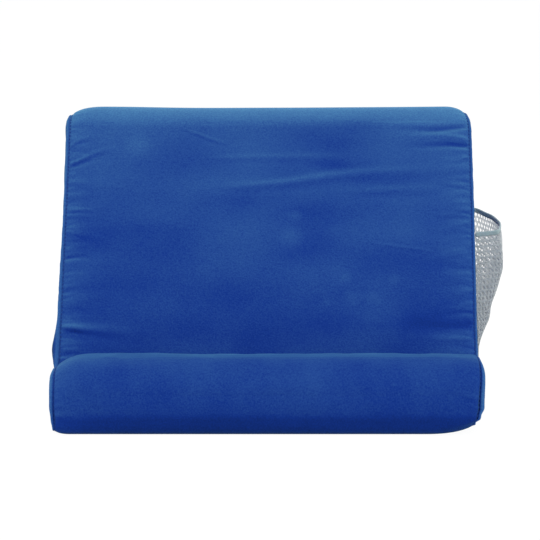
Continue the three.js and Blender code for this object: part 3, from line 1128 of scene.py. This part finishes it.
def shader_group(name: str, inputs: dict[str, tuple[str, object]], outputs: dict[str, str]) -> Graph:
    """Starts a shader node group.

    Args:
        name: the group's name.
        inputs: its inputs, each with a socket type and a default value.
        outputs: its outputs' socket types.

    Returns:
        The graph to write it in.
    """
    tree = bpy.data.node_groups.new(name, "ShaderNodeTree")
    for label, (kind, value) in inputs.items():
        socket = tree.interface.new_socket(label, in_out="INPUT", socket_type=kind)
        socket.default_value = value
    for label, kind in outputs.items():
        tree.interface.new_socket(label, in_out="OUTPUT", socket_type=kind)
    return Graph(tree)


FLOAT, COLOUR, NORMAL = "NodeSocketFloat", "NodeSocketColor", "NodeSocketVector"
Colour = tuple[float, float, float, float]


class SharedEffects:
    """The node groups that several materials share, each made once."""

    _made: dict[str, bpy.types.NodeTree] = {}

    @classmethod
    def pile(cls) -> bpy.types.NodeTree:
        """A brushed pile: speckle, soft patches, and brush marks with painted light and painted shade, as
        a colour and a height.
        """
        if "pile" in cls._made:
            return cls._made["pile"]
        graph = shader_group(
            "brushed_pile",
            {
                "Deep": (COLOUR, (0.0, 0.0, 0.0, 1)),
                "Lit": (COLOUR, (1.0, 1.0, 1.0, 1)),
                "Brushed": (FLOAT, 0.0),
                "Grain size": (FLOAT, 0.0011),
                "Patch size": (FLOAT, 0.045),
                "Grain": (FLOAT, 1.75),
                "Patches": (FLOAT, 0.8),
                "Shade": (FLOAT, 0.5),
            },
            {"Color": COLOUR, "Height": FLOAT},
        )
        given = graph.add("NodeGroupInput").outputs
        place = graph.add("ShaderNodeTexCoord").outputs["Object"]
        fine = graph.math("DIVIDE", 1.0, given["Grain size"])
        broad = graph.math("DIVIDE", 1.0, given["Patch size"])
        speckle, patches = (
            graph.add(
                "ShaderNodeTexNoise",
                {"Vector": place, "Scale": scale, "Detail": detail, "Roughness": roughness},
            ).outputs["Fac"]
            for scale, detail, roughness in ((fine, 2.0, 0.6), (broad, 3.0, 0.55))
        )
        gain = graph.math("MULTIPLY_ADD", given["Brushed"], 0.6, 1.0)
        gain = graph.out("ShaderNodeClamp", {"Value": gain, "Min": 0.7, "Max": 2.5})
        speckled = graph.math("MULTIPLY", graph.math("SUBTRACT", speckle, 0.5), given["Grain"])
        speckled = graph.math("MULTIPLY", speckled, gain)
        patched = graph.math("MULTIPLY", graph.math("SUBTRACT", patches, 0.5), given["Patches"])
        # The given tone adds brushed nap with painted light and painted shade.
        tone = graph.math("ADD", graph.math("ADD", speckled, patched), given["Brushed"])
        tone = graph.math("ADD", tone, 0.5)
        bright = graph.out("ShaderNodeClamp", {"Value": tone, "Min": 0.0, "Max": 4.0})
        dark = graph.out("ShaderNodeClamp", {"Value": tone, "Min": -1.5, "Max": 0.0})
        shade = graph.math("MULTIPLY_ADD", dark, given["Shade"], 1.0)
        deep, vectors = given["Deep"], "ShaderNodeVectorMath"
        step = graph.out(vectors, {0: given["Lit"], 1: deep}, operation="SUBTRACT")
        colour = graph.out(vectors, {0: step, 1: bright, 2: deep}, operation="MULTIPLY_ADD")
        shaded = graph.out(vectors, {0: colour, 1: shade}, operation="MULTIPLY")
        graph.add("NodeGroupOutput", {"Color": shaded, "Height": speckle})
        cls._made["pile"] = graph.tree
        return graph.tree


def pile_material(
    name: str, pile: dict[str, object], bump: dict[str, float], looks: dict[str, object], nap: str = ""
) -> bpy.types.Material:
    """A material that takes its colour and its relief from the brushed pile.

    Args:
        name: the material's name.
        pile: the pile's inputs.
        bump: the strength of its relief, and how deep that is in metres.
        looks: the other inputs of the Principled shader.
        nap: the attribute that says how pale each point is painted, for brushed nap and painted light and
            shade, if there is one.

    Returns:
        The material.
    """
    material = bpy.data.materials.new(name)
    material.use_nodes = True
    graph = Graph(material.node_tree)
    if nap:
        pile = {**pile, "Brushed": graph.add("ShaderNodeAttribute", attribute_name=nap).outputs["Fac"]}
    made = graph.add("ShaderNodeGroup", pile, node_tree=SharedEffects.pile()).outputs
    relief = graph.add("ShaderNodeBump", {**bump, "Height": made["Height"]}).outputs["Normal"]
    shader = material.node_tree.nodes["Principled BSDF"]
    graph.fill(shader, {"Base Color": made["Color"], "Normal": relief, **looks})
    return material


@dataclass(frozen=True)
class PlushFinish:
    """Short velvety plush with a brushed nap."""

    name: str = "plush_blue"
    slot: str = "cover"
    # deep is the plush's dark end and lit the pale end towards which painted sheen, painted light and
    # pale nap lean.
    deep: Colour = (0.0052, 0.0330, 0.2600, 1)
    lit: Colour = (0.0220, 0.0830, 0.3120, 1)
    sheen: float = 0.21
    sheen_roughness: float = 0.45
    sheen_tint: Colour = (0.25, 0.84, 1.0, 1)
    roughness: float = 0.85
    pile_height: float = 0.0004

    def material(self) -> bpy.types.Material:
        """The material."""
        return pile_material(
            self.name,
            {"Deep": self.deep, "Lit": self.lit},
            {"Strength": 0.5, "Distance": self.pile_height},
            {
                "Roughness": self.roughness,
                "Specular IOR Level": 0.05,
                "Sheen Weight": self.sheen,
                "Sheen Roughness": self.sheen_roughness,
                "Sheen Tint": self.sheen_tint,
            },
            nap="nap",
        )


# ---------------------------------------------------------------- the side pocket


@dataclass(frozen=True)
class NetFold:
    """How far the net stands off the side panel at one height over the floor."""

    height: float
    stand_off: float


@dataclass(frozen=True)
class NetReach:
    """How full the net is, and how high its mouth, at one place across it."""

    across: float
    full: float
    mouth: float


@dataclass
class PocketForm:
    """The net pocket's drape on the stand's right side, which its net and its binding share.

    across is 0 at the net's front edge and 1 at its back edge.
    """

    cushion: Cushion
    front_inset: float = 1.3
    back_inset: float = 3.5
    hem_height: float = 7.0
    toe: float = -58.5
    clearance: float = 0.3
    ripple: float = 0.5
    ripples_across: float = 9.0
    ripple_rise: float = 7.0
    reaches: tuple[NetReach, ...] = (
        NetReach(0.0, 0.0, 112.7),
        NetReach(0.035, 0.5, 112.9),
        NetReach(0.1, 0.88, 113.0),
        NetReach(0.3, 0.96, 112.6),
        NetReach(0.59, 1.0, 113.0),
        NetReach(0.75, 0.9, 114.0),
        NetReach(0.86, 0.64, 115.0),
        NetReach(0.95, 0.36, 116.6),
        NetReach(1.0, 0.0, 117.5),
    )
    folds: tuple[NetFold, ...] = (
        NetFold(7, 0),
        NetFold(42, 0.1),
        NetFold(47, 1.7),
        NetFold(52, 4.6),
        NetFold(56, 7.8),
        NetFold(61.5, 9.7),
        NetFold(67, 10.6),
        NetFold(75, 14.3),
        NetFold(82.5, 16.8),
        NetFold(90, 19.3),
        NetFold(100, 20.2),
        NetFold(107, 19.8),
        NetFold(113, 18.2),
        NetFold(120, 17.4),
    )

    def __post_init__(self) -> None:
        """Reads the cushion's right seam and makes its surface ready to measure against."""
        surface = self.cushion.surface
        self._seam = self.cushion.seam_line(Hand.RIGHT, 0.0)
        self._tree = BVHTree.FromPolygons(surface.points.tolist(), surface.faces)
        keys = np.array([(reach.across, reach.full, reach.mouth) for reach in self.reaches])
        self._reach = smooth_path(keys, 160)

    def panel(self, y: float, z: float) -> float:
        """How far out the side panel lies at a place."""
        hit = self._tree.ray_cast(Vector((400, y, z)), Vector((-1, 0, 0)))[0]
        return hit.x if hit else self.cushion.outline.seam_at[Hand.RIGHT]

    def edges(self, height: float) -> tuple[float, float]:
        """The net's front and back edges at a height, a little inside the stand's seams."""
        seam, after = self._seam, np.roll(self._seam, -1, axis=0)
        spans = ((seam[:, 2] - height) * (after[:, 2] - height) <= 0) & (seam[:, 2] != after[:, 2])
        share = (height - seam[spans, 2]) / (after[spans, 2] - seam[spans, 2])
        y = seam[spans, 1] + (after[spans, 1] - seam[spans, 1]) * share
        y = y[y > self.toe - 15]
        return max(y.min() + self.front_inset, self.toe), y.max() - self.back_inset

    def mouth(self, across: float) -> float:
        """The mouth's height over the floor."""
        return float(np.interp(across, self._reach[:, 0], self._reach[:, 2]))

    def fullness(self, across: float) -> float:
        """How full the net is between its edges, from 0 at either edge to 1."""
        return max(float(np.interp(across, self._reach[:, 0], self._reach[:, 1])), 0.0)

    def stand_off(self, height: float) -> float:
        """How far the fullest part of the net stands off the panel at a height."""
        heights = [fold.height for fold in self.folds]
        return float(np.interp(height, heights, [fold.stand_off for fold in self.folds]))

    def point(self, across: float, up: float) -> Vector:
        """A point of the net, where up is 0 at its bottom edge and 1 at its mouth."""
        z = self.hem_height + (self.mouth(across) - self.hem_height) * up
        front, back = self.edges(z)
        y = front + (back - front) * across
        out = self.clearance + self.stand_off(z) * self.fullness(across)
        wave = math.sin(self.ripples_across * across + z / self.ripple_rise)
        ripple = self.ripple * wave * self.fullness(across) * up
        return Vector((self.panel(y, z) + out + ripple, y, z))


@dataclass(frozen=True)
class YarnFinish:
    """Matt knitted yarn: the net's, the binding's and the thread's."""

    name: str
    slot: str
    deep: Colour
    lit: Colour
    grain: float = 0.0006
    roughness: float = 0.75
    translucency: float = 0.0
    scatter: float = 0.003
    sheen: float = 0.15
    pile_height: float = 0.0002

    def material(self) -> bpy.types.Material:
        """The material."""
        return pile_material(
            self.name,
            {"Deep": self.deep, "Lit": self.lit, "Grain size": self.grain},
            {"Strength": 0.4, "Distance": self.pile_height},
            {
                "Roughness": self.roughness,
                "Specular IOR Level": 0.2,
                "Sheen Weight": self.sheen,
                "Subsurface Weight": self.translucency,
                "Subsurface Radius": (1.0, 1.0, 1.0),
                "Subsurface Scale": self.scatter,
            },
        )


def geometry_tree(name: str, inputs: dict[str, tuple[str, object]]) -> Graph:
    """Starts a Geometry Nodes tree that takes and gives back one geometry.

    Args:
        name: the tree's name.
        inputs: its other inputs, each with a socket type and a default value.

    Returns:
        The graph to write it in.
    """
    tree = bpy.data.node_groups.new(name, "GeometryNodeTree")
    tree.interface.new_socket("Geometry", in_out="INPUT", socket_type="NodeSocketGeometry")
    for label, (kind, value) in inputs.items():
        socket = tree.interface.new_socket(label, in_out="INPUT", socket_type=kind)
        if value is not None:
            socket.default_value = value
    tree.interface.new_socket("Geometry", in_out="OUTPUT", socket_type="NodeSocketGeometry")
    return Graph(tree)


def closed_tree(
    graph: Graph, geometry: bpy.types.NodeSocket, material: bpy.types.NodeSocket
) -> bpy.types.NodeTree:
    """Ends a Geometry Nodes tree: its instances become real and take their material."""
    realized = graph.out("GeometryNodeRealizeInstances", {"Geometry": geometry})
    dressed = graph.out("GeometryNodeSetMaterial", {"Geometry": realized, "Material": material})
    graph.add("NodeGroupOutput", {"Geometry": dressed})
    return graph.tree


def grown(
    name: str, base: bpy.types.Mesh, tree: bpy.types.NodeTree, values: dict[str, object]
) -> bpy.types.Mesh:
    """The plain mesh that a Geometry Nodes tree makes of a base mesh.

    Args:
        name: the new mesh's name.
        base: the mesh that the tree takes in, which is used up.
        tree: the tree.
        values: its inputs by name.

    Returns:
        The mesh.
    """
    holder = linked(name + "_base", base)
    modifier = holder.modifiers.new(tree.name, "NODES")
    modifier.node_group = tree
    for item in tree.interface.items_tree:
        if item.item_type == "SOCKET" and item.in_out == "INPUT" and item.name in values:
            modifier[item.identifier] = values[item.name]
    evaluated = holder.evaluated_get(bpy.context.evaluated_depsgraph_get())
    mesh = bpy.data.meshes.new_from_object(evaluated)
    mesh.name = name
    bpy.data.objects.remove(holder, do_unlink=True)
    bpy.data.meshes.remove(base)
    return mesh


@dataclass
class PocketNet:
    """The pocket's net: a cloth of six-sided holes, hemmed along its back and bottom edges."""

    form: PocketForm
    columns: int = 120
    rows: int = 50
    smoothing: int = 2
    hole_pitch: float = 3.3
    hole_rise: float = 3.5
    hole_share: float = 0.66
    thickness: float = 0.45
    hem_width: float = 5.0

    def guide(self) -> tuple[np.ndarray, np.ndarray]:
        """The cloth's surface as a grid of points, and each one's place on the flat cloth."""
        points = np.array(
            [
                [self.form.point(i / self.columns, j / self.rows)[:] for i in range(self.columns + 1)]
                for j in range(self.rows + 1)
            ]
        )
        for _ in range(self.smoothing):
            beside = points[1:-1, :-2, 0] + points[1:-1, 2:, 0]
            above = points[:-2, 1:-1, 0] + points[2:, 1:-1, 0]
            points[1:-1, 1:-1, 0] = (points[1:-1, 1:-1, 0] + beside + above) / 5
        step = np.linalg.norm(np.diff(points, axis=1), axis=2)
        from_back = np.zeros(points.shape[:2])
        from_back[:, :-1] = step[:, ::-1].cumsum(1)[:, ::-1]
        fullest = points[:, self.columns // 2]
        rise = np.hypot(np.diff(fullest[:, 0]), np.diff(fullest[:, 2]))
        height = np.concatenate([[0], rise.cumsum()])[:, None] + np.zeros(points.shape[1])
        return points, np.stack([from_back, height], axis=2)

    def add_hem(self, mesh: bpy.types.Mesh, points: np.ndarray, cloth: np.ndarray) -> None:
        """Folds the net over along its back and bottom edges.

        Args:
            mesh: the net's mesh, which the hem joins.
            points: the cloth's surface as a grid of points.
            cloth: each point's place on the flat cloth.
        """
        steps = 4
        places = np.arange(steps + 1) / steps * self.hem_width
        by_column = zip(points.transpose(1, 0, 2), cloth.transpose(1, 0, 2)[..., 1])
        by_row = zip(points[:, ::-1], cloth[:, ::-1, 0])
        strips = []
        for lines in (by_row, by_column):
            strip = [[np.interp(places, away, line[:, k]) for k in range(3)] for line, away in lines]
            strips.append(np.array(strip).transpose(0, 2, 1))
        joined = bmesh.new()
        joined.from_mesh(mesh)
        for strip in strips:
            strip[..., 0] += self.thickness
            corners = [[joined.verts.new(Vector(p) * MM) for p in row] for row in strip]
            for a, b in zip(corners, corners[1:]):
                for k in range(steps):
                    joined.faces.new((a[k], b[k], b[k + 1], a[k + 1])).smooth = True
        joined.to_mesh(mesh)
        joined.free()

    def net_tree(self) -> bpy.types.NodeTree:
        """The tree that lays a net of holes over the guide surface."""
        graph = geometry_tree(
            "pocket_net_holes",
            {
                "Width": (FLOAT, 0.2),
                "Height": (FLOAT, 0.12),
                "Columns": ("NodeSocketInt", 50),
                "Rows": ("NodeSocketInt", 30),
                "Pitch": (FLOAT, 0.0033),
                "Hole": (FLOAT, 0.6),
                "Material": ("NodeSocketMaterial", None),
            },
        )
        given = graph.add("NodeGroupInput").outputs
        grid = graph.out(
            "GeometryNodeMeshGrid",
            {
                "Size X": given["Width"],
                "Size Y": given["Height"],
                "Vertices X": given["Columns"],
                "Vertices Y": given["Rows"],
            },
        )
        place = graph.out("GeometryNodeInputPosition")
        number = graph.out("GeometryNodeInputIndex")
        odd = graph.math("MODULO", graph.math("MODULO", number, given["Rows"]), 2.0)
        shift = graph.math("MULTIPLY", graph.math("SUBTRACT", odd, 0.5), given["Pitch"])
        offset = graph.out("ShaderNodeCombineXYZ", {"X": graph.math("MULTIPLY", shift, 0.5)})
        staggered = graph.out("GeometryNodeSetPosition", {"Geometry": grid, "Offset": offset})
        split = graph.out(
            "GeometryNodeTriangulate", {"Mesh": staggered}, quad_method="SHORTEST_DIAGONAL"
        )
        cells = graph.out("GeometryNodeDualMesh", {"Mesh": split})
        raised = graph.add(
            "GeometryNodeExtrudeMesh", {"Mesh": cells, "Offset Scale": 0.0, "Individual": True}
        ).outputs
        hole = {"Geometry": raised["Mesh"], "Selection": raised["Top"], "Scale": given["Hole"]}
        shrunk = graph.out("GeometryNodeScaleElements", hole)
        hole = {"Geometry": shrunk, "Selection": raised["Top"]}
        opened = graph.out("GeometryNodeDeleteGeometry", hole, domain="FACE")
        joined = graph.out("GeometryNodeMergeByDistance", {"Geometry": opened, "Distance": 0.00001})
        rounded = graph.out("GeometryNodeSubdivisionSurface", {"Mesh": joined, "Level": 1})
        half_width, half_height = (
            graph.math("DIVIDE", given[size], 2.0) for size in ("Width", "Height")
        )
        corner = graph.out("ShaderNodeCombineXYZ", {"X": half_width, "Y": half_height})
        wanted = graph.out("ShaderNodeVectorMath", {0: place, 1: corner}, operation="ADD")
        vector = {"data_type": "FLOAT_VECTOR"}
        flat_place = graph.out("GeometryNodeInputNamedAttribute", {"Name": "cloth"}, **vector)
        sample = graph.add(
            "GeometryNodeSampleUVSurface",
            {
                "Mesh": given["Geometry"],
                "Value": place,
                "Source UV Map": flat_place,
                "Sample UV": wanted,
            },
            **vector,
        ).outputs
        outside = graph.out("FunctionNodeBooleanMath", {0: sample["Is Valid"]}, operation="NOT")
        kept = graph.out(
            "GeometryNodeDeleteGeometry", {"Geometry": rounded, "Selection": outside}, domain="POINT"
        )
        laid = graph.out("GeometryNodeSetPosition", {"Geometry": kept, "Position": sample["Value"]})
        return closed_tree(graph, laid, given["Material"])

    def build(self, finish: YarnFinish) -> bpy.types.Object:
        """Makes the net and dresses it.

        Args:
            finish: the net's finish.

        Returns:
            The finished object.
        """
        points, cloth = self.guide()
        wide = self.columns + 1
        faces = [
            (j * wide + i, j * wide + i + 1, (j + 1) * wide + i + 1, (j + 1) * wide + i)
            for j in range(self.rows)
            for i in range(self.columns)
        ]
        guide = mesh_of("net_guide", points.reshape(-1, 3), faces)
        layer = guide.attributes.new("cloth", "FLOAT_VECTOR", "CORNER")
        corner_points = np.zeros(len(guide.loops), dtype=np.int32)
        guide.loops.foreach_get("vertex_index", corner_points)
        flat = np.zeros((len(guide.vertices), 3))
        flat[:, :2] = cloth.reshape(-1, 2) * MM
        layer.data.foreach_set("vector", flat[corner_points].astype(np.float32).ravel())
        width, height = cloth[..., 0].max(), cloth[..., 1].max()
        material = finish.material()
        count = int(width / self.hole_pitch) + 2, int(height / self.hole_rise) + 2
        values = {
            "Width": (count[0] - 1) * self.hole_pitch * MM,
            "Height": (count[1] - 1) * self.hole_rise * MM,
            "Columns": count[0],
            "Rows": count[1],
            "Pitch": self.hole_pitch * MM,
            "Hole": self.hole_share,
            "Material": material,
        }
        mesh = grown("pocket_net_cloth", guide, self.net_tree(), values)
        self.add_hem(mesh, points, cloth)
        net = placed("pocket_net_cloth", mesh, material, finish.slot)
        wall = net.modifiers.new("thickness", "SOLIDIFY")
        wall.thickness, wall.offset = self.thickness * MM, 0.0
        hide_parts("pocket_net")
        LOG.info("%s: %d points, cut %.0f x %.0f mm", net.name, len(mesh.vertices), width, height)
        return net


@dataclass
class PocketBinding:
    """The ribbed tape that closes over the pocket's mouth, as a flat bar round the net's edge."""

    form: PocketForm
    tall: float = 3.4
    thick: float = 1.2
    steps: int = 140
    rib: float = 0.12
    rib_steps: int = 4
    sides: int = 14
    roundness: tuple[float, float] = (0.7, 0.5)
    lift: float = 0.35
    end_shift: float = 3.0

    def build(self, finish: YarnFinish) -> bpy.types.Object:
        """Makes the binding and dresses it.

        Args:
            finish: the binding's finish.

        Returns:
            The finished object.
        """
        sides = self.sides
        points, faces, mouth = [], [], []
        for i in range(self.steps + 1):
            across = i / self.steps
            foot = self.form.point(across, 1.0)
            mouth.append(foot[:])
            for k in range(sides):
                angle = 2 * math.pi * k / sides
                out, up = (
                    math.copysign(abs(turn) ** power, turn) * size / 2
                    for turn, power, size in (
                        (math.cos(angle), self.roundness[0], self.thick),
                        (math.sin(angle), self.roundness[1], self.tall),
                    )
                )
                swell = 1 + self.rib * math.sin(2 * math.pi * i / self.rib_steps)
                shift = max(self.thick / 2 - self.form.fullness(across) * self.end_shift, 0)
                points.append((foot.x + shift + out * swell, foot.y, foot.z + self.tall * self.lift + up))
        for i in range(self.steps):
            for k in range(sides):
                after = (k + 1) % sides
                a, b = i * sides, (i + 1) * sides
                faces.append((a + k, b + k, b + after, a + after))
        faces.append(tuple(range(sides)))
        faces.append(tuple(self.steps * sides + k for k in reversed(range(sides))))
        mesh = mesh_of("pocket_binding_tape", np.array(points), faces)
        painted_slope_light = bmesh.new()
        painted_slope_light.from_mesh(mesh)
        bmesh.ops.recalc_face_normals(painted_slope_light, faces=painted_slope_light.faces)
        painted_slope_light.to_mesh(mesh)
        painted_slope_light.free()
        binding = placed("pocket_binding_tape", mesh, finish.material(), finish.slot)
        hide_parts("pocket_binding")
        length = np.linalg.norm(np.diff(mouth, axis=0), axis=1).sum()
        LOG.info("%s: %.1f mm long", binding.name, length)
        return binding


@dataclass
class Stitching:
    """Rows of short stitches that follow a line."""

    pitch: float = 2.85
    length: float = 1.8
    thickness: float = 0.8

    def tree(self) -> bpy.types.NodeTree:
        """The tree that sets a stitch at every pitch along its line."""
        graph = geometry_tree(
            "stitches",
            {
                "Pitch": (FLOAT, 0.003),
                "Length": (FLOAT, 0.002),
                "Thickness": (FLOAT, 0.0005),
                "Material": ("NodeSocketMaterial", None),
            },
        )
        given = graph.add("NodeGroupInput").outputs
        line = graph.add("GeometryNodeMeshToCurve", {"Mesh": given["Geometry"]})
        spots = graph.add(
            "GeometryNodeCurveToPoints",
            {"Curve": line.outputs[0], "Length": given["Pitch"]},
            mode="LENGTH",
        )
        ball = graph.add("GeometryNodeMeshUVSphere", {"Segments": 6, "Rings": 5, "Radius": 0.5})
        size = graph.add(
            "ShaderNodeCombineXYZ",
            {"X": given["Thickness"], "Y": given["Thickness"], "Z": given["Length"]},
        )
        placed_stitches = graph.out(
            "GeometryNodeInstanceOnPoints",
            {
                "Points": spots.outputs["Points"],
                "Instance": ball.outputs["Mesh"],
                "Rotation": spots.outputs["Rotation"],
                "Scale": size.outputs[0],
            },
        )
        return closed_tree(graph, placed_stitches, given["Material"])

    def build(self, name: str, lines: list[np.ndarray], finish: YarnFinish) -> bpy.types.Object:
        """Makes the stitches and dresses them.

        Args:
            name: the piece's name.
            lines: the lines that the stitches follow, in millimetres, each back to its start.
            finish: the thread's finish.

        Returns:
            The finished object.
        """
        points, edges = [], []
        for line in lines:
            first = len(points)
            points.extend((line * MM).tolist())
            edges.extend((first + k, first + k + 1) for k in range(len(line) - 1))
            edges.append((first + len(line) - 1, first))
        base = bpy.data.meshes.new(name + "_lines")
        base.from_pydata(points, edges, [])
        material = finish.material()
        values = {
            "Pitch": self.pitch * MM,
            "Length": self.length * MM,
            "Thickness": self.thickness * MM,
            "Material": material,
        }
        mesh = grown(name, base, self.tree(), values)
        mesh.shade_smooth()
        stitches = placed(name, mesh, material, finish.slot)
        LOG.info("%s: %d points", name, len(mesh.vertices))
        return stitches


# ---------------------------------------------------------------- studio


@dataclass
class Studio:
    """The pale floor, the soft lights and the camera."""

    azimuth: float = 0.0
    elevation: float = 8.6
    distance: float = 2.091
    lens: float = 203.3
    aim: tuple[float, float, float] = (0.0019, 0.0, 0.090)
    sky: float = 0.5
    top_power: float = 7.0
    rim_power: float = 11.5
    front_power: float = 9.0
    side_power: float = 7.0

    def build(self) -> None:
        """Makes everything around the stand."""
        self.camera()
        self.lights()
        self.floor()

    def camera(self) -> None:
        """The camera, at its distance from the point that it looks at."""
        data = bpy.data.cameras.new("camera")
        data.lens = self.lens
        data.sensor_width = 36.0
        data.clip_start, data.clip_end = 0.05, 60.0
        camera = linked("camera", data)
        turn, rise = math.radians(self.azimuth), math.radians(self.elevation)
        level = math.cos(rise)
        back = Vector((math.sin(turn) * level, -math.cos(turn) * level, math.sin(rise)))
        camera.location = Vector(self.aim) + back * self.distance
        camera.rotation_euler = (-back).to_track_quat("-Z", "Y").to_euler()
        bpy.context.scene.camera = camera

    def lights(self) -> None:
        """Soft lights overhead, behind, in front and at either side, and an even sky."""
        self._softbox("top_light", (0.0, -0.6, 1.7), (0, 0, 0.1), 1.5, self.top_power)
        self._softbox("rim_light", (0.0, 1.5, 0.9), (0, 0, 0.15), 1.2, self.rim_power)
        self._softbox("front_light", (0.3, -2.2, 0.9), (0, 0, 0.1), 1.4, self.front_power)
        for hand in Hand:
            at = (hand.value * 1.5, -0.4, 0.6)
            self._softbox(f"{hand.name.lower()}_light", at, (0, 0, 0.1), 1.3, self.side_power)
        world = bpy.data.worlds.new("sky")
        world.use_nodes = True
        graph = Graph(world.node_tree)
        extra = graph.math("MULTIPLY", graph.shown(), 1.0 - self.sky)
        backdrop = world.node_tree.nodes["Background"]
        backdrop.inputs["Color"].default_value = (1, 1, 1, 1)
        graph.tree.links.new(graph.math("ADD", extra, self.sky), backdrop.inputs["Strength"])
        bpy.context.scene.world = world

    @staticmethod
    def _softbox(
        name: str,
        at: tuple[float, float, float],
        towards: tuple[float, float, float],
        size: float,
        power: float,
    ) -> None:
        """A square area light that faces a point."""
        data = bpy.data.lights.new(name, "AREA")
        data.energy, data.size = power, size
        light = linked(name, data)
        light.location = at
        light.rotation_euler = (Vector(towards) - Vector(at)).to_track_quat("-Z", "Y").to_euler()

    @staticmethod
    def floor() -> None:
        """A white floor that keeps the stand's soft shadow."""
        reach, glow_strength, glow_share = 9.0, 1.07, 0.9
        mesh = bpy.data.meshes.new("floor")
        corners = [(-reach, -reach, 0), (reach, -reach, 0), (reach, reach, 0), (-reach, reach, 0)]
        mesh.from_pydata(corners, [], [(0, 1, 2, 3)])
        floor = linked("floor", mesh)
        material = bpy.data.materials.new("floor_white")
        material.use_nodes = True
        graph = Graph(material.node_tree)
        shader = material.node_tree.nodes["Principled BSDF"]
        shader.inputs["Base Color"].default_value = (0.8, 0.8, 0.8, 1)
        shader.inputs["Roughness"].default_value = 1.0
        shader.inputs["Specular IOR Level"].default_value = 0.0
        glow = graph.add("ShaderNodeEmission", {"Color": (1, 1, 1, 1), "Strength": glow_strength})
        share = graph.math("MULTIPLY", graph.shown(), glow_share)
        mix = graph.add("ShaderNodeMixShader", {0: share, 1: shader.outputs[0], 2: glow.outputs[0]})
        output = material.node_tree.nodes["Material Output"]
        graph.tree.links.new(mix.outputs[0], output.inputs["Surface"])
        mesh.materials.append(material)


# ---------------------------------------------------------------- the whole stand


THREAD = YarnFinish(
    "thread_navy", "cover", (0.005, 0.028, 0.20, 1), (0.008, 0.045, 0.25, 1), sheen=0.0
)
NET_YARN = YarnFinish(
    "net_grey", "net", (0.26, 0.31, 0.32, 1), (0.38, 0.43, 0.44, 1), translucency=1.0, scatter=0.006
)
BINDING_TAPE = YarnFinish(
    "binding_teal", "binding", (0.19, 0.27, 0.29, 1), (0.29, 0.38, 0.41, 1), translucency=1.0
)


def main() -> None:
    """Builds the studio and then the stand, piece by piece."""
    logging.basicConfig(level=logging.INFO, format="%(name)s: %(message)s")
    scene = bpy.context.scene
    scene.view_settings.view_transform = "Standard"
    Studio().build()
    cushion = Cushion()
    cushion.build(PlushFinish())
    seams = [cushion.seam_line(hand, STITCH_INSET) for hand in Hand]
    Stitching().build("seam_stitches", seams, THREAD)
    form = PocketForm(cushion)
    PocketNet(form).build(NET_YARN)
    PocketBinding(form).build(BINDING_TAPE)


if __name__ == "__main__":
    main()
